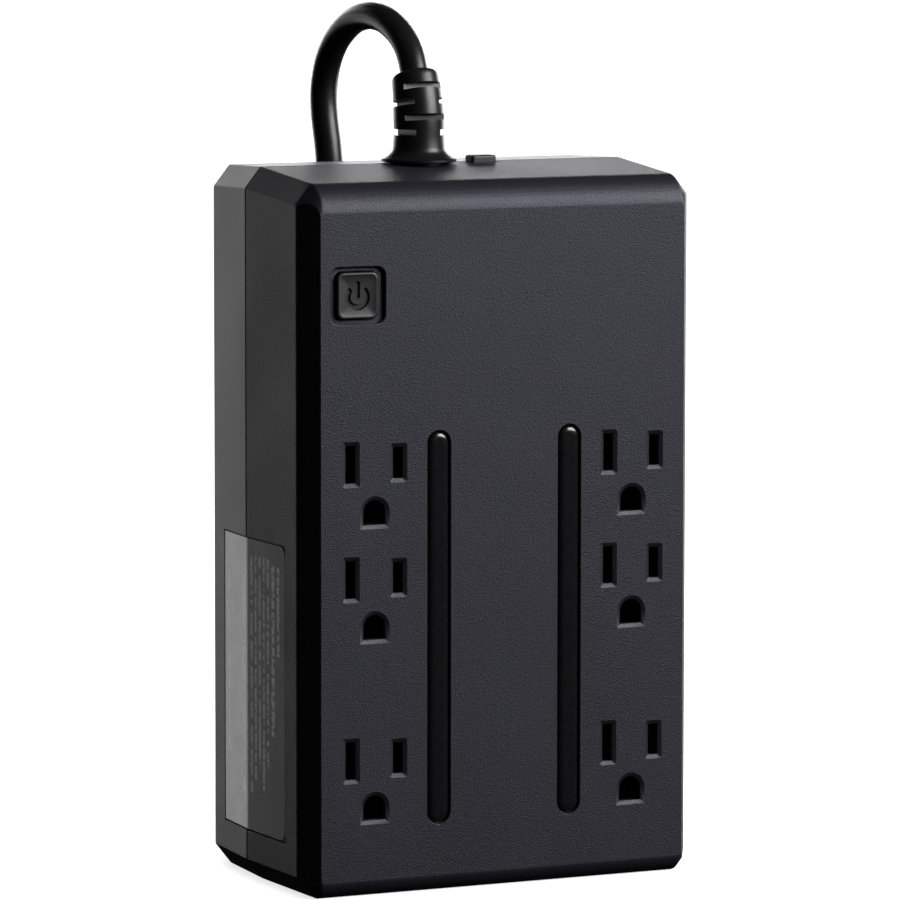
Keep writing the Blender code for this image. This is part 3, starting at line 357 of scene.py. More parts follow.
def gentle_depths(first, last):
    """Depths close together round the fillets and bends, and one at each crease."""
    found = {first, last}
    for radius in (TOP_FILLET, BASE_FILLET):
        for i in range(17):
            found.add(radius * (1 - math.cos(math.pi / 2 * i / 16)))
    for share in (0.06, 0.16, 0.3, 0.48):
        found.add(share * EDGE_RADIUS)
    for bend in (SHOULDER, BREAK):
        for i in range(-4, 5):
            found.add(bend + i * 0.000175)
    kept = []
    for depth in sorted(found):
        if first <= depth <= last and (not kept or depth - kept[-1] > 0.00003):
            kept.append(depth)
    return kept


def rimmed_case(first, last, first_rim, last_rim):
    """The case's form with a small radius round its front rim and another round its back one."""
    def rim(edge, radius, shares):
        return [case_outline(edge + radius * share, 0.0, abs(radius) * (1 - math.sqrt(1 - (1 - share) ** 2)))
                for share in shares]

    shares = (0.0, 0.15, 0.4, 0.7, 1.0)
    middle = [d for d in gentle_depths(first, last) if first + first_rim < d < last - last_rim]
    return loft((rim(first, first_rim, shares) if first_rim else []) + [case_outline(d) for d in middle]
                + rim(last, -last_rim, shares[::-1]))


POSTS = [(x, z) for z in (0.0085, 0.165) for x in (-0.035, 0.035)]
FEET = [(x, z) for z in (0.026, 0.152) for x in (-0.032, 0.032)]
RELIEF_X = -0.0065
BREAKER_X = 0.0105


def seam_openings():
    """Half of a round hole for the lead and half of a square one for the breaker's button."""
    bm = bmesh.new()
    hole = round_outline(0.0068, 40)
    loft([[(RELIEF_X + x, at(SEAM) + y, z) for x, y in hole] for z in (CASE_TOP - 0.01, CASE_TOP + 0.01)], bm)
    block(span(BREAKER_X, 0.0074), span(at(SEAM), 0.0052), (CASE_TOP - 0.01, CASE_TOP + 0.01), bm)
    return bm


def label_seat():
    """A shallow sinking for the label, which follows both slopes of the left side."""
    bm = bmesh.new()
    front, back = LABEL_DEPTHS[0] - LABEL_GAP, LABEL_DEPTHS[1] + LABEL_GAP
    rings = []
    for z in (LABEL_HEIGHTS[0] - LABEL_GAP, LABEL_HEIGHTS[1] + LABEL_GAP):
        inner = [(-half_width(d, 0.0006), at(d), z) for d in (front, SEAM, back)]
        outer = [(-CASE_HALF - PAST, at(d), z) for d in (back, SEAM, front)]
        rings.append(inner + outer)
    return loft(rings, bm)


def keyhole(grow=0.0):
    """A round hole for a screw's head with a narrow slot above it."""
    head = KEYHOLE_HEAD + grow
    half = KEYHOLE_SLOT + grow
    start = math.asin(half / head)
    sweep = 2 * math.pi - 2 * start
    points = []
    for i in range(29):
        angle = math.pi / 2 + start + sweep * i / 28
        points.append((head * math.cos(angle), head * math.sin(angle)))
    for i in range(13):
        angle = math.pi * i / 12
        points.append((half * math.cos(angle), KEYHOLE_RISE + half * math.sin(angle)))
    return points


def back_cutters():
    """Keyholes, vents, the feet's seats and the screws' wells; all but the feet's seats have their outer rim
    eased.
    """
    bm = bmesh.new()
    for x in (-KEYHOLE_X, KEYHOLE_X):
        rings = ((0.070, 0.0), (BACK - 0.0005, 0.0), (BACK, 0.0005), (BACK + PAST, 0.0015))
        loft([facing(keyhole(grow), depth, x, KEYHOLE_Z) for depth, grow in rings], bm)
    width, height = VENT_SIZE
    rings = ((0.070, 0.0), (BACK - 0.0003, 0.0), (BACK, 0.0003), (BACK + PAST, 0.0013))
    for i in range(VENT_COLUMNS):
        x = (i - (VENT_COLUMNS - 1) / 2) * VENT_PITCH
        for z in VENT_ROWS:
            loft([facing(oblong(width + 2 * grow, height + 2 * grow, width / 2 + grow - 1e-5), depth, x, z)
                  for depth, grow in rings], bm)
    for x, z in FEET:
        seat = FOOT_RADIUS + 0.0003
        turned_solid(((BACK - 0.0011, seat), (BACK + PAST, seat)), x, z, 40, bm)
    for x, z in POSTS:
        turned_solid(((0.069, 0.0017), (BACK - 0.0026, 0.0017), (BACK - 0.0026, 0.0029),
                      (BACK - 0.0003, 0.0029), (BACK, 0.0032), (BACK + PAST, 0.0042)), x, z, 24, bm)
    return bm


def at_posts(first, last, radius, sides):
    """A straight round solid at each case screw."""
    bm = bmesh.new()
    for x, z in POSTS:
        turned_solid(((first, radius), (last, radius)), x, z, sides, bm)
    return bm


def rear_fittings():
    """Bosses for the case screws, ribs under the battery and the transformer's shelf."""
    bm = at_posts(0.0703, BACK - WALL / 2, 0.003, 24)
    for x in (-0.030, 0.0, 0.030):
        block(span(x, 0.002), (at(0.040), at(BREAK)), (WALL / 2, 0.0122), bm)
    block(span(-0.014, 0.048), (at(0.044), at(BACK - WALL / 2)), (0.113, 0.1154), bm)
    return bm


REAR_SHELL = grained("rear_shell_abs", (0.009, 0.009, 0.010), 0.37, pit=0.00034, depth=0.00003,
                     tint=(0.92, 0.91, 1.0))
rear = moulding("rear_shell", rimmed_case(SEAM + SEAM_GAP, BACK, 0.0002, 0.0010), REAR_SHELL)
machine(rear, (
    ("DIFFERENCE", loft([case_outline(d, 0.0010) for d in (SEAM, SEAM + 0.0018)])),
    ("DIFFERENCE", loft([case_outline(d, WALL) for d in (SEAM, BREAK, BACK - WALL)])),
    ("UNION", rear_fittings()),
    ("DIFFERENCE", back_cutters()),
    ("DIFFERENCE", seam_openings()),
    ("DIFFERENCE", label_seat()),
))
smooth(rear)
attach(rear, "unit")
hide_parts("rear_cover")

# ---------------------------------------------------------------- battery
# A sealed lead-acid battery in a black case stands on the rear cover's ribs, held by a foam pad.
# Red and black leads push onto its two brass tabs and run to the main board.


def smooth_line(points, spacing):
    """Evenly spaced points on a smooth curve through a route's own points."""
    ends = [2 * Vector(points[0]) - Vector(points[1]), 2 * Vector(points[-1]) - Vector(points[-2])]
    knots = [ends[0], *map(Vector, points), ends[1]]
    fine = []
    for a, b, c, d in zip(knots, knots[1:], knots[2:], knots[3:]):
        for i in range(24):
            t = i / 24
            fine.append(0.5 * (2 * b + (c - a) * t + (2 * a - 5 * b + 4 * c - d) * t**2
                               + (3 * b - a - 3 * c + d) * t**3))
    fine.append(knots[-2])
    lengths = [0.0]
    for a, b in zip(fine, fine[1:]):
        lengths.append(lengths[-1] + (b - a).length)
    count = max(2, round(lengths[-1] / spacing))
    line = []
    step = 0
    for i in range(count + 1):
        wanted = lengths[-1] * i / count
        while step < len(fine) - 2 and lengths[step + 1] < wanted:
            step += 1
        share = (wanted - lengths[step]) / max(lengths[step + 1] - lengths[step], 1e-9)
        line.append(fine[step].lerp(fine[step + 1], min(1.0, share)))
    return line


def metal(name, tone, gloss):
    """Rolled or stamped metal: fine drawn marks along it and a mottled sheen."""
    made, tree, shader = finish_material(name, Metallic=1.0)
    place = node(tree, "TexCoord").outputs["Object"]
    drawn = node(tree, "Mapping")
    drawn.inputs["Scale"].default_value = (1.0, 1.0, 0.15)
    tree.links.new(place, drawn.inputs["Vector"])
    marks = pattern(tree, "TexNoise", drawn.outputs[0], {"Scale": 1.0 / 0.0006, "Detail": 4.0}).outputs[0]
    tarnish = pattern(tree, "TexNoise", place, {"Scale": 220.0, "Detail": 3.0}).outputs[0]
    colour = two_tones(tree, tarnish, [c * 0.72 for c in tone], tone, (0.35, 0.65))
    dress(tree, shader, colour, (marks, 0.22, gloss - 0.11), marks, 0.00002)
    return made


def refinish(names, look):
    """Gives CAD nodes whose shape is right their finish."""
    for name in names:
        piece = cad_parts[name]
        piece.data.materials.clear()
        piece.data.materials.append(look)


BRASS = metal("brass_strip", (0.42, 0.24, 0.09), 0.42)
refinish(("battery",), grained("battery_case", (0.035, 0.036, 0.040), 0.5, pit=0.0009, depth=0.00003))
refinish(("battery_pad",), grained("grey_foam", (0.05, 0.05, 0.052), 0.9, pit=0.0012, depth=0.0002))
refinish(("battery_terminal_positive", "battery_terminal_negative"), BRASS)
refinish(("battery_lead_positive",), grained("red_lead", (0.45, 0.015, 0.012), 0.4, pit=0.002, depth=0.00002))
refinish(("battery_lead_negative",), grained("black_lead", (0.02, 0.02, 0.02), 0.4, pit=0.002, depth=0.00002))

# ---------------------------------------------------------------- transformer
# Stacked steel laminations with a bobbin of copper wound through them, wrapped in yellow tape.
# It sits on the shelf above the battery.


def laminations():
    """Thin varnished steel sheets on edge: dark lines a third of a millimetre apart."""
    made, tree, shader = finish_material("laminations", Metallic=0.8)
    place = node(tree, "TexCoord").outputs["Object"]
    sheets = pattern(tree, "TexWave", place, {"Scale": 480.0, "Distortion": 0.4},
                     wave_type="BANDS", bands_direction="Y").outputs[1]
    rust = pattern(tree, "TexNoise", place, {"Scale": 400.0}).outputs[0]
    colour = two_tones(tree, maths(tree, "MULTIPLY", sheets, rust), (0.03, 0.03, 0.032), (0.16, 0.15, 0.15))
    dress(tree, shader, colour, (rust, 0.3, 0.35), sheets, 0.00008)
    return made


refinish(("transformer_core",), laminations())
WINDING_TAPE = grained("winding_tape", (0.60, 0.40, 0.05), 0.35, pit=0.003, depth=0.00006)
refinish(("transformer_winding",), WINDING_TAPE)

# ---------------------------------------------------------------- main board and switch board
# Green glass-fibre boards stand beside the battery and behind the power button. The main one
# carries two relays, two capacitors, a finned aluminium sink and the alarm's buzzer.


def board_lacquer():
    """Green solder mask over copper tracks, which show as paler, slightly raised lines."""
    made, tree, shader = finish_material("board_lacquer", Coat_Weight=0.3)
    place = node(tree, "TexCoord").outputs["Object"]
    upright = node(tree, "Mapping")
    upright.inputs["Rotation"].default_value = (math.pi / 2, 0.0, math.pi / 2)
    tree.links.new(place, upright.inputs["Vector"])
    tracks = pattern(tree, "TexBrick", upright.outputs[0], {
        "Scale": 160.0, "Mortar Size": 0.035, "Color1": (0.008, 0.075, 0.028, 1.0),
        "Color2": (0.010, 0.095, 0.034, 1.0), "Mortar": (0.022, 0.16, 0.06, 1.0)})
    weave = pattern(tree, "TexNoise", place, {"Scale": 900.0}).outputs[0]
    dress(tree, shader, tracks.outputs["Color"], (weave, 0.3, 0.2), tracks.outputs["Fac"], 0.00005)
    return made


refinish(("main_board", "switch_board"), board_lacquer())
refinish(("relay_1", "relay_2"), grained("relay_case", (0.012, 0.035, 0.13), 0.25, pit=0.002, depth=0.00001))
refinish(("capacitor_1", "capacitor_2"), grained("capacitor_sleeve", (0.012, 0.012, 0.03), 0.25, pit=0.003))
refinish(("heat_sink",), metal("sink_aluminium", (0.62, 0.63, 0.65), 0.38))
refinish(("buzzer", "power_switch"), grained("dark_housing", (0.015, 0.015, 0.016), 0.4, pit=0.0008))

# ---------------------------------------------------------------- outlet contacts
# Behind each column of outlets a nylon carrier holds three stamped brass strips, which
# link all three outlets. Its black is painted shade, darkening the slots' depths where it shows.
# Pairs of sprung leaves grip the blades and the ground pin.

# The carrier's black is painted shade for the depths of the slots.
CARRIER_PAINTED_SHADE = grained("carrier_nylon_painted_shade", (0.012, 0.012, 0.012), 0.6, pit=0.0009)
refinish(("outlet_carrier_left", "outlet_carrier_right"), CARRIER_PAINTED_SHADE)
for column in ("left", "right"):
    refinish([f"{kind}_bus_{column}" for kind in ("neutral", "hot", "ground")], BRASS)

# ---------------------------------------------------------------- circuit breaker
# A thermal breaker is clipped under the top seam. Its small black button pops up when it trips,
# and is pushed back in to reset it.

refinish(("breaker_body",), grained("breaker_housing", (0.015, 0.015, 0.016), 0.4, pit=0.0008))
BUTTON_PLASTIC = grained("button_plastic", (0.007, 0.007, 0.008), 0.34, pit=0.0006, depth=0.000008)
low, high = map(Vector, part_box("breaker_reset"))
middle = (low + high) / 2
size = high - low
rings = []
for below_top, inset in ((high.z - low.z, 0.0), (0.0006, 0.0), (0.0003, 0.00008), (0.0001, 0.0003),
                         (0.0, 0.0006), (0.0001, 0.0012)):
    outline = oblong(size.x - 2 * inset, size.y - 2 * inset, max(0.0003, 0.0007 - inset / 2))
    rings.append([(middle.x + px, middle.y + py, high.z - below_top) for px, py in outline])
reset = smooth(moulding("reset_button", loft(rings), BUTTON_PLASTIC), 50)
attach(reset, "reset")
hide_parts("breaker_reset")

# ---------------------------------------------------------------- strain relief
# A sleeve of soft black PVC is moulded over the lead and clamped between the two covers by its
# neck. Slots cut from both sides in turn leave it free to bend.

RELIEF_STRAIGHT = 0.008
RELIEF_BEND = 0.038
RELIEF_LENGTH = 0.0223
RELIEF_SLOTS = (0.0076, 0.0111, 0.0147, 0.0182)
RELIEF_SLOT = 0.0015
RELIEF_CORE = 0.0033
RELIEF_REACH = 0.0094


def relief_place(height):
    """The middle of the sleeve at a length along it, and how far it leans back there."""
    if height <= RELIEF_STRAIGHT:
        return Vector((RELIEF_X, at(SEAM), CASE_TOP + height)), 0.0
    lean = (height - RELIEF_STRAIGHT) / RELIEF_BEND
    return Vector((RELIEF_X, at(SEAM) + RELIEF_BEND * (1 - math.cos(lean)),
                   CASE_TOP + RELIEF_STRAIGHT + RELIEF_BEND * math.sin(lean))), lean


def relief_ring(height, radius):
    place, lean = relief_place(height)
    turn = Matrix.Rotation(-lean, 3, "X")
    return [place + turn @ Vector((x, y, 0.0)) for x, y in round_outline(radius, 48)]


def relief_slots():
    """Pairs of slots that leave the middle whole, each pair turned a quarter from the last."""
    bm = bmesh.new()
    for number, height in enumerate(RELIEF_SLOTS):
        place, lean = relief_place(height)
        turn = Matrix.Translation(place) @ Matrix.Rotation(-lean, 4, "X")
        if number % 2:
            turn = turn @ Matrix.Rotation(math.pi / 2, 4, "Z")
        for side in (-1, 1):
            near, far = sorted((side * RELIEF_CORE, side * RELIEF_REACH))
            corners = [(near, -RELIEF_REACH), (far, -RELIEF_REACH), (far, RELIEF_REACH), (near, RELIEF_REACH)]
            loft([[turn @ Vector((x, y, z)) for x, y in corners] for z in span(0.0, RELIEF_SLOT)], bm)
    return bm


sleeve_profile = (
    (-0.0049, 0.0088), (-0.0033, 0.0088), (-0.0033, 0.0065), (0.0002, 0.0065), (0.0002, 0.0091),
    (0.0004, 0.0094), (0.0009, 0.0094), (0.0011, 0.0092), (0.0012, 0.0089), (0.0014, 0.0085),
    (0.0018, 0.0078), (0.0023, 0.0072), (0.0030, 0.0067), (0.0040, 0.0065), (0.0055, 0.0064),
    (0.0066, 0.0063), (0.0090, 0.0063), (0.0120, 0.0063), (0.0147, 0.0062), (0.0170, 0.0061),
    (0.0190, 0.0060), (0.0206, 0.0059), (0.0213, 0.0058), (0.0217, 0.0056), (0.0220, 0.0052),
    (0.0222, 0.0047), (RELIEF_LENGTH, 0.0041),
)
RELIEF_PVC = grained("relief_pvc", (0.005, 0.005, 0.0055), 0.25, pit=0.0007, depth=0.00001, specular=0.35)
sleeve = moulding("relief_sleeve", loft([relief_ring(*step) for step in sleeve_profile]), RELIEF_PVC)
machine(sleeve, (("DIFFERENCE", relief_slots()),))
smooth(sleeve)
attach(sleeve, "unit")
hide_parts("strain_relief")

# ---------------------------------------------------------------- mains lead
# Three cores in a round black PVC jacket, 7 mm thick and about 1.5 m long. It arches out of the
# strain relief and down behind the case, then lies wound for storage in a coil of five turns.

LEAD_DIAMETER = 0.0070
LEAD_STEP = 0.0022
SLEEVED = 0.0033
COIL_OUTER, COIL_INNER = 0.0410, 0.0341
COIL_LOW, COIL_TOP, COIL_OVER = 0.0049, 0.0185, 0.0258
COIL_ENTRY, COIL_LAYER, COIL_CROSSING, COIL_EXIT = 70, 720, 70, 150
COIL_STEP = 15
COIL_SWEEP = 1735
COIL_MIDDLE = Vector((0.0375, at(0.133), 0.0))
LEAD_ROUTE = (
    (-0.0065, 0.0383, 0.1993), (-0.0065, 0.0397, 0.2024), (-0.0065, 0.0425, 0.2057),
    (-0.0065, 0.0480, 0.2092), (-0.0065, 0.0560, 0.2118), (-0.0065, 0.0655, 0.2124),
    (-0.0065, 0.0750, 0.2106), (-0.0065, 0.0835, 0.2064), (-0.0065, 0.0895, 0.2008),
    (-0.0064, 0.0926, 0.1945), (-0.0063, 0.0931, 0.1890), (-0.0062, 0.0922, 0.1835),
    (-0.0061, 0.0908, 0.1780), (-0.0060, 0.0900, 0.1700), (-0.0057, 0.0900, 0.1450),
    (-0.0053, 0.0900, 0.1200), (-0.0049, 0.0900, 0.0950), (-0.0045, 0.0900, 0.0720),
    (-0.0042, 0.0902, 0.0560), (-0.0040, 0.0918, 0.0442), (-0.0038, 0.0970, 0.0350),
    (-0.0037, 0.1050, 0.0288), (-0.0036, 0.1140, 0.0263), (-0.0035, 0.1240, 0.0258),
)
TAIL_ROUTE = (
    (0.0102, 0.1124, 0.0258), (0.0073, 0.1187, 0.0260), (0.0058, 0.1260, 0.0265),
    (0.0060, 0.1332, 0.0275), (0.0082, 0.1402, 0.0288), (0.0122, 0.1463, 0.0301),
    (0.0180, 0.1524, 0.0312), (0.0242, 0.1548, 0.0315),
)


def eased(place, start, end, first, last):
    """Runs gently from one value to another between two places."""
    t = min(1.0, max(0.0, (place - start) / (end - start)))
    return first + (last - first) * t * t * (3 - 2 * t)


def coil_point(turned):
    """A place on the coil after so many degrees: down the outer turns, then up the inner ones."""
    bottom = COIL_ENTRY + COIL_LAYER
    rising = bottom + COIL_CROSSING
    topped = rising + COIL_LAYER
    if turned < COIL_ENTRY:
        height = eased(turned, 0, COIL_ENTRY, COIL_OVER, COIL_TOP)
    elif turned < bottom:
        height = COIL_TOP + (COIL_LOW - COIL_TOP) * (turned - COIL_ENTRY) / COIL_LAYER
    elif turned < rising:
        height = COIL_LOW
    elif turned < topped:
        height = COIL_LOW + (COIL_TOP - COIL_LOW) * (turned - rising) / COIL_LAYER
    else:
        height = eased(turned, topped, topped + COIL_EXIT, COIL_TOP, COIL_OVER)
    radius = eased(turned, bottom - 5, rising + 5, COIL_OUTER, COIL_INNER)
    angle = math.radians(180 - turned)
    return COIL_MIDDLE + Vector((radius * math.cos(angle), radius * math.sin(angle), height))


route = [Vector((x, at(d), z)) for x, d, z in LEAD_ROUTE]
route += [coil_point(COIL_STEP * (i + 1)) for i in range(round(COIL_SWEEP / COIL_STEP))]
route += [Vector((x, at(d), z)) for x, d, z in TAIL_ROUTE]
line = smooth_line([relief_place(RELIEF_LENGTH - SLEEVED)[0], *route], LEAD_STEP)
curve = bpy.data.curves.new("mains_lead", "CURVE")
curve.dimensions = "3D"
curve.bevel_depth = LEAD_DIAMETER / 2
curve.bevel_resolution = 5
curve.use_fill_caps = True
spline = curve.splines.new("POLY")
spline.points.add(len(line) - 1)
for point, place in zip(spline.points, line):
    point.co = (*place, 1.0)
spline.use_smooth = True
curve.materials.append(grained("lead_jacket", (0.005, 0.005, 0.0055), 0.27, pit=0.0011, depth=0.000012,
                               specular=0.35))
lead = bpy.data.objects.new("mains_lead", curve)
show(lead)
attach(lead, "unit")
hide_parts("power_cord", "power_cord_tail", "cord_coil")

# ---------------------------------------------------------------- plug
# A grounding plug of soft black PVC is moulded round the end of the lead, over two flat brass
# blades and a round ground pin. Grooves at its neck let it flex.

GROOVED = (0.002, 0.0125)
GROOVE_PITCH = 0.0026
GROOVE_DEPTH = 0.0005
PLUG_PLACE = Matrix.Translation((0.0251, at(0.1551), 0.0315)) @ Matrix.Rotation(math.radians(20), 4, "Z")


def plug_section(along):
    """Width and height of the plug at a length from its cord end."""
    places = ((0.0, 0.0080, 0.0080), (0.004, 0.0084, 0.0084), (0.013, 0.0104, 0.0104),
              (0.018, 0.0135, 0.0126), (0.025, 0.0183, 0.0158), (0.032, 0.0222, 0.0178),
              (0.038, 0.0243, 0.0186), (0.044, 0.0249, 0.0189), (0.0496, 0.0250, 0.0190),
              (0.0507, 0.0245, 0.0185), (0.0510, 0.0236, 0.0176))
    for (a, wide, tall), (b, wider, taller) in zip(places, places[1:]):
        if along <= b:
            t = (along - a) / (b - a)
            return wide + (wider - wide) * t, tall + (taller - tall) * t
    return places[-1][1:]


plug_rings = []
stations = [0.0, 0.0006] + [0.0012 + 0.0006 * i for i in range(81)] + [0.0503, 0.0507, 0.0510]
for along in stations:
    wide, tall = plug_section(along)
    if GROOVED[0] < along < GROOVED[1]:
        groove = GROOVE_DEPTH * (1 - math.cos(2 * math.pi * (along - GROOVED[0]) / GROOVE_PITCH)) / 2
        wide, tall = wide - 2 * groove, tall - 2 * groove
    corner = min(0.0055, 0.499 * min(wide, tall))
    plug_rings.append([PLUG_PLACE @ Vector((along, px, pz)) for px, pz in oblong(wide, tall, corner, 8)])
plug = smooth(moulding("moulded_plug", loft(plug_rings), RELIEF_PVC), 50)
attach(plug, "unit")
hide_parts("plug_body")
BLADE_BRASS = metal("blade_brass", (0.78, 0.62, 0.38), 0.25)
refinish(("plug_blade_hot", "plug_blade_neutral", "plug_ground_pin"), BLADE_BRASS)

# ---------------------------------------------------------------- lead tie
# A woven nylon hook-and-loop strap, 8 mm wide, goes once round the coil's turns and closes on
# itself.

STRAP_WIDTH = 0.008
STRAP_THICK = 0.0010
BUNDLE = (0.0375, 0.0117)


def woven_strap():
    """Black nylon hook-and-loop: a fine weave under a short fuzz."""
    made, tree, shader = finish_material("woven_strap", Roughness=0.85, Sheen_Weight=0.3)
    place = node(tree, "TexCoord").outputs["Object"]
    weave = pattern(tree, "TexVoronoi", place, {"Scale": 1500.0}, feature="F1").outputs[0]
    fuzz = pattern(tree, "TexNoise", place, {"Scale": 900.0, "Detail": 5.0}).outputs[0]
    colour = two_tones(tree, fuzz, (0.010, 0.010, 0.011), (0.045, 0.045, 0.048))
    dress(tree, shader, colour, (weave, 0.2, 0.7), maths(tree, "ADD", weave, fuzz), 0.00015)
    return made


def strap():
    """The band's outline round the bundle, with round corners, swept across its width."""
    bm = bmesh.new()
    turn = Matrix.Translation(COIL_MIDDLE) @ Matrix.Rotation(math.radians(-30), 4, "Z")
    outlines = []
    for grow in (0.0, STRAP_THICK):
        flat = oblong(0.0154 + 2 * grow, 0.0210 + 2 * grow, 0.0036 + grow, 8)
        outlines.append([(BUNDLE[0] + px, BUNDLE[1] + pz) for px, pz in flat])
    inner, outer = outlines
    made = []
    for shift in span(0.0, STRAP_WIDTH):
        for points in (inner, outer):
            made.append([bm.verts.new(turn @ Vector((px, shift, pz))) for px, pz in points])
    low_in, low_out, high_in, high_out = made
    count = len(inner)
    for i in range(count):
        j = (i + 1) % count
        bm.faces.new((low_in[i], low_in[j], low_out[j], low_out[i]))
        bm.faces.new((high_in[j], high_in[i], high_out[i], high_out[j]))
        bm.faces.new((low_out[i], low_out[j], high_out[j], high_out[i]))
        bm.faces.new((low_in[j], low_in[i], high_in[i], high_in[j]))
    return bm


tie = smooth(moulding("lead_strap", strap(), woven_strap()), 40)
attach(tie, "unit")
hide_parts("cord_tie")

# ---------------------------------------------------------------- front cover
# The front half of the case is the other moulding in the same textured ABS. Blade slots and
# ground holes with slanting lips, two grooves and the button's pocket are moulded into its face,
# and four long posts behind it take the case screws.

FACE_WALL = 0.0026
COLUMNS = (-0.035, 0.035)
ROWS = (0.1065, 0.0784, 0.0340)
BLADE_SPACING = 0.0127
GROUND_DROP = 0.0119
BUTTON_X = -0.0395
BUTTON_Z = 0.1475
BAR_SPREAD = 0.0355
BAR_WIDTH = 0.0053
BAR_LENGTH = 0.0961
BAR_MIDDLE = 0.1135 - BAR_LENGTH / 2
BAR_GAP = 0.0004
BLADE_SLOTS = ((-1, 0.0092), (1, 0.0076))
BLADE_SLOT_WIDTH = 0.0026
GROUND_HOLE = (0.0058, 0.0060)
CAP_SIZE = (0.0109, 0.0113)


def arch(width, height, grow):
    """An opening with a round top and a flat foot."""
    radius = width / 2 + grow
    spring = height / 2 - width / 2
    points = []
    for i in range(17):
        angle = math.pi * i / 16
        points.append((radius * math.cos(angle), spring + radius * math.sin(angle)))
    return points + [(-radius, -height / 2 - grow), (radius, -height / 2 - grow)]


def blade_slot(tall, grow):
    return oblong(BLADE_SLOT_WIDTH + 2 * grow, tall + 2 * grow, 0.0003 + grow / 3, 3)


def lipped_hole(bm, outline, x, z):
    """A hole through the face with a slanting lip whose outer edge is slightly worn."""
    rings = ((-PAST, 0.0031), (0.0, 0.00115), (0.00006, 0.00098), (0.00050, 0.00008), (0.00062, 0.0),
             (FACE_WALL + PAST, 0.0))
    loft([facing(outline(grow), depth, x, z) for depth, grow in rings], bm)


def outlet_holes():
    bm = bmesh.new()
    for x in COLUMNS:
        for z in ROWS:
            for side, tall in BLADE_SLOTS:
                lipped_hole(bm, lambda grow: blade_slot(tall, grow), x + side * BLADE_SPACING / 2, z)
            lipped_hole(bm, lambda grow: arch(*GROUND_HOLE, grow), x, z - GROUND_DROP)
    return bm


def soft_pocket(bm, width, height, radius, depth, x, z, lip=0.0003):
    """A pocket in the face whose rim is rounded off."""
    rings = ((-PAST, lip + PAST), (0.0, lip), (0.00006, lip * 0.6), (0.00018, lip * 0.2), (0.0004, 0.0),
             (depth, 0.0))
    made = []
    for at_depth, grow in rings:
        corner = min(radius + grow, (min(width, height) + 2 * grow) / 2 - 1e-5)
        made.append(facing(oblong(width + 2 * grow, height + 2 * grow, corner, 8), at_depth, x, z))
    loft(made, bm)


def face_pockets():
    bm = bmesh.new()
    for side in (-1, 1):
        width, height = BAR_WIDTH + 2 * BAR_GAP, BAR_LENGTH + 2 * BAR_GAP
        soft_pocket(bm, width, height, width / 2 - 1e-5, 0.0016, side * BAR_SPREAD / 2, BAR_MIDDLE)
    soft_pocket(bm, 0.0146, 0.0138, 0.0022, 0.0013, BUTTON_X, BUTTON_Z, 0.0004)
    return bm


def button_well():
    outline = oblong(0.0116, 0.0120, 0.00195, 8)
    return loft([facing(outline, depth, BUTTON_X, BUTTON_Z) for depth in (0.0008, FACE_WALL + PAST)])


inner_depths = [d for d in gentle_depths(FACE_WALL, SEAM) if d == FACE_WALL or d < TOP_FILLET + 0.001]
front_inside = [case_outline(d, WALL) for d in (*inner_depths, SEAM, SEAM + 0.003)]
# Same ABS as the rear shell, but with a bluer tone and a blue tint on its reflections: painted light,
# standing for the bluish light that falls on the face.
FRONT_SHELL_PAINTED_BLUE = grained("front_shell_abs_painted_blue", (0.007, 0.007, 0.0095), 0.40, pit=0.00030, depth=0.000055,
                      tint=(0.84, 0.84, 1.0))
front = moulding("front_shell", rimmed_case(0.0, SEAM, 0.0, 0.0002), FRONT_SHELL_PAINTED_BLUE)
machine(front, (
    ("UNION", loft([case_outline(d, 0.0013) for d in (SEAM - 0.001, SEAM + 0.0015)])),
    ("DIFFERENCE", loft(front_inside)),
    ("UNION", at_posts(FACE_WALL - 0.001, 0.070, 0.0026, 24)),
    ("DIFFERENCE", at_posts(0.052, 0.071, 0.0017, 20)),
    ("DIFFERENCE", outlet_holes()),
    ("DIFFERENCE", face_pockets()),
    ("DIFFERENCE", button_well()),
    ("DIFFERENCE", seam_openings()),
    ("DIFFERENCE", label_seat()),
))
smooth(front)
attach(front, "unit")
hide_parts("front_cover")

# ---------------------------------------------------------------- power button
# A square cap in smooth black ABS with a dished face and a power mark sunk in it. A collar keeps
# it behind the face, and its stem presses the switch.

COLLAR = oblong(0.0129, 0.0133, 0.0016, 8)
STEM = oblong(0.004, 0.004, 0.0006, 8)


def button_cap():
    rings = []
    profile = ((0.00036, 4.4), (0.00034, 3.4), (0.00030, 2.6), (0.00025, 2.0), (0.00019, 1.5), (0.00013, 1.1),
               (0.00007, 0.8), (0.00002, 0.6), (0.0, 0.42), (0.00004, 0.25), (0.00014, 0.10), (0.0003, 0.02),
               (0.0005, 0.0), (0.0029, 0.0))
    for depth, inset in profile:
        inset *= 0.001
        radius = max(0.0004, 0.0016 - inset * 0.5)
        outline = oblong(CAP_SIZE[0] - 2 * inset, CAP_SIZE[1] - 2 * inset, radius, 8)
        rings.append(facing(outline, depth, BUTTON_X, BUTTON_Z))
    for outline, depths in ((COLLAR, (0.0029, 0.0041)), (STEM, (0.0041, 0.0095))):
        rings += [facing(outline, depth, BUTTON_X, BUTTON_Z) for depth in depths]
    return loft(rings)


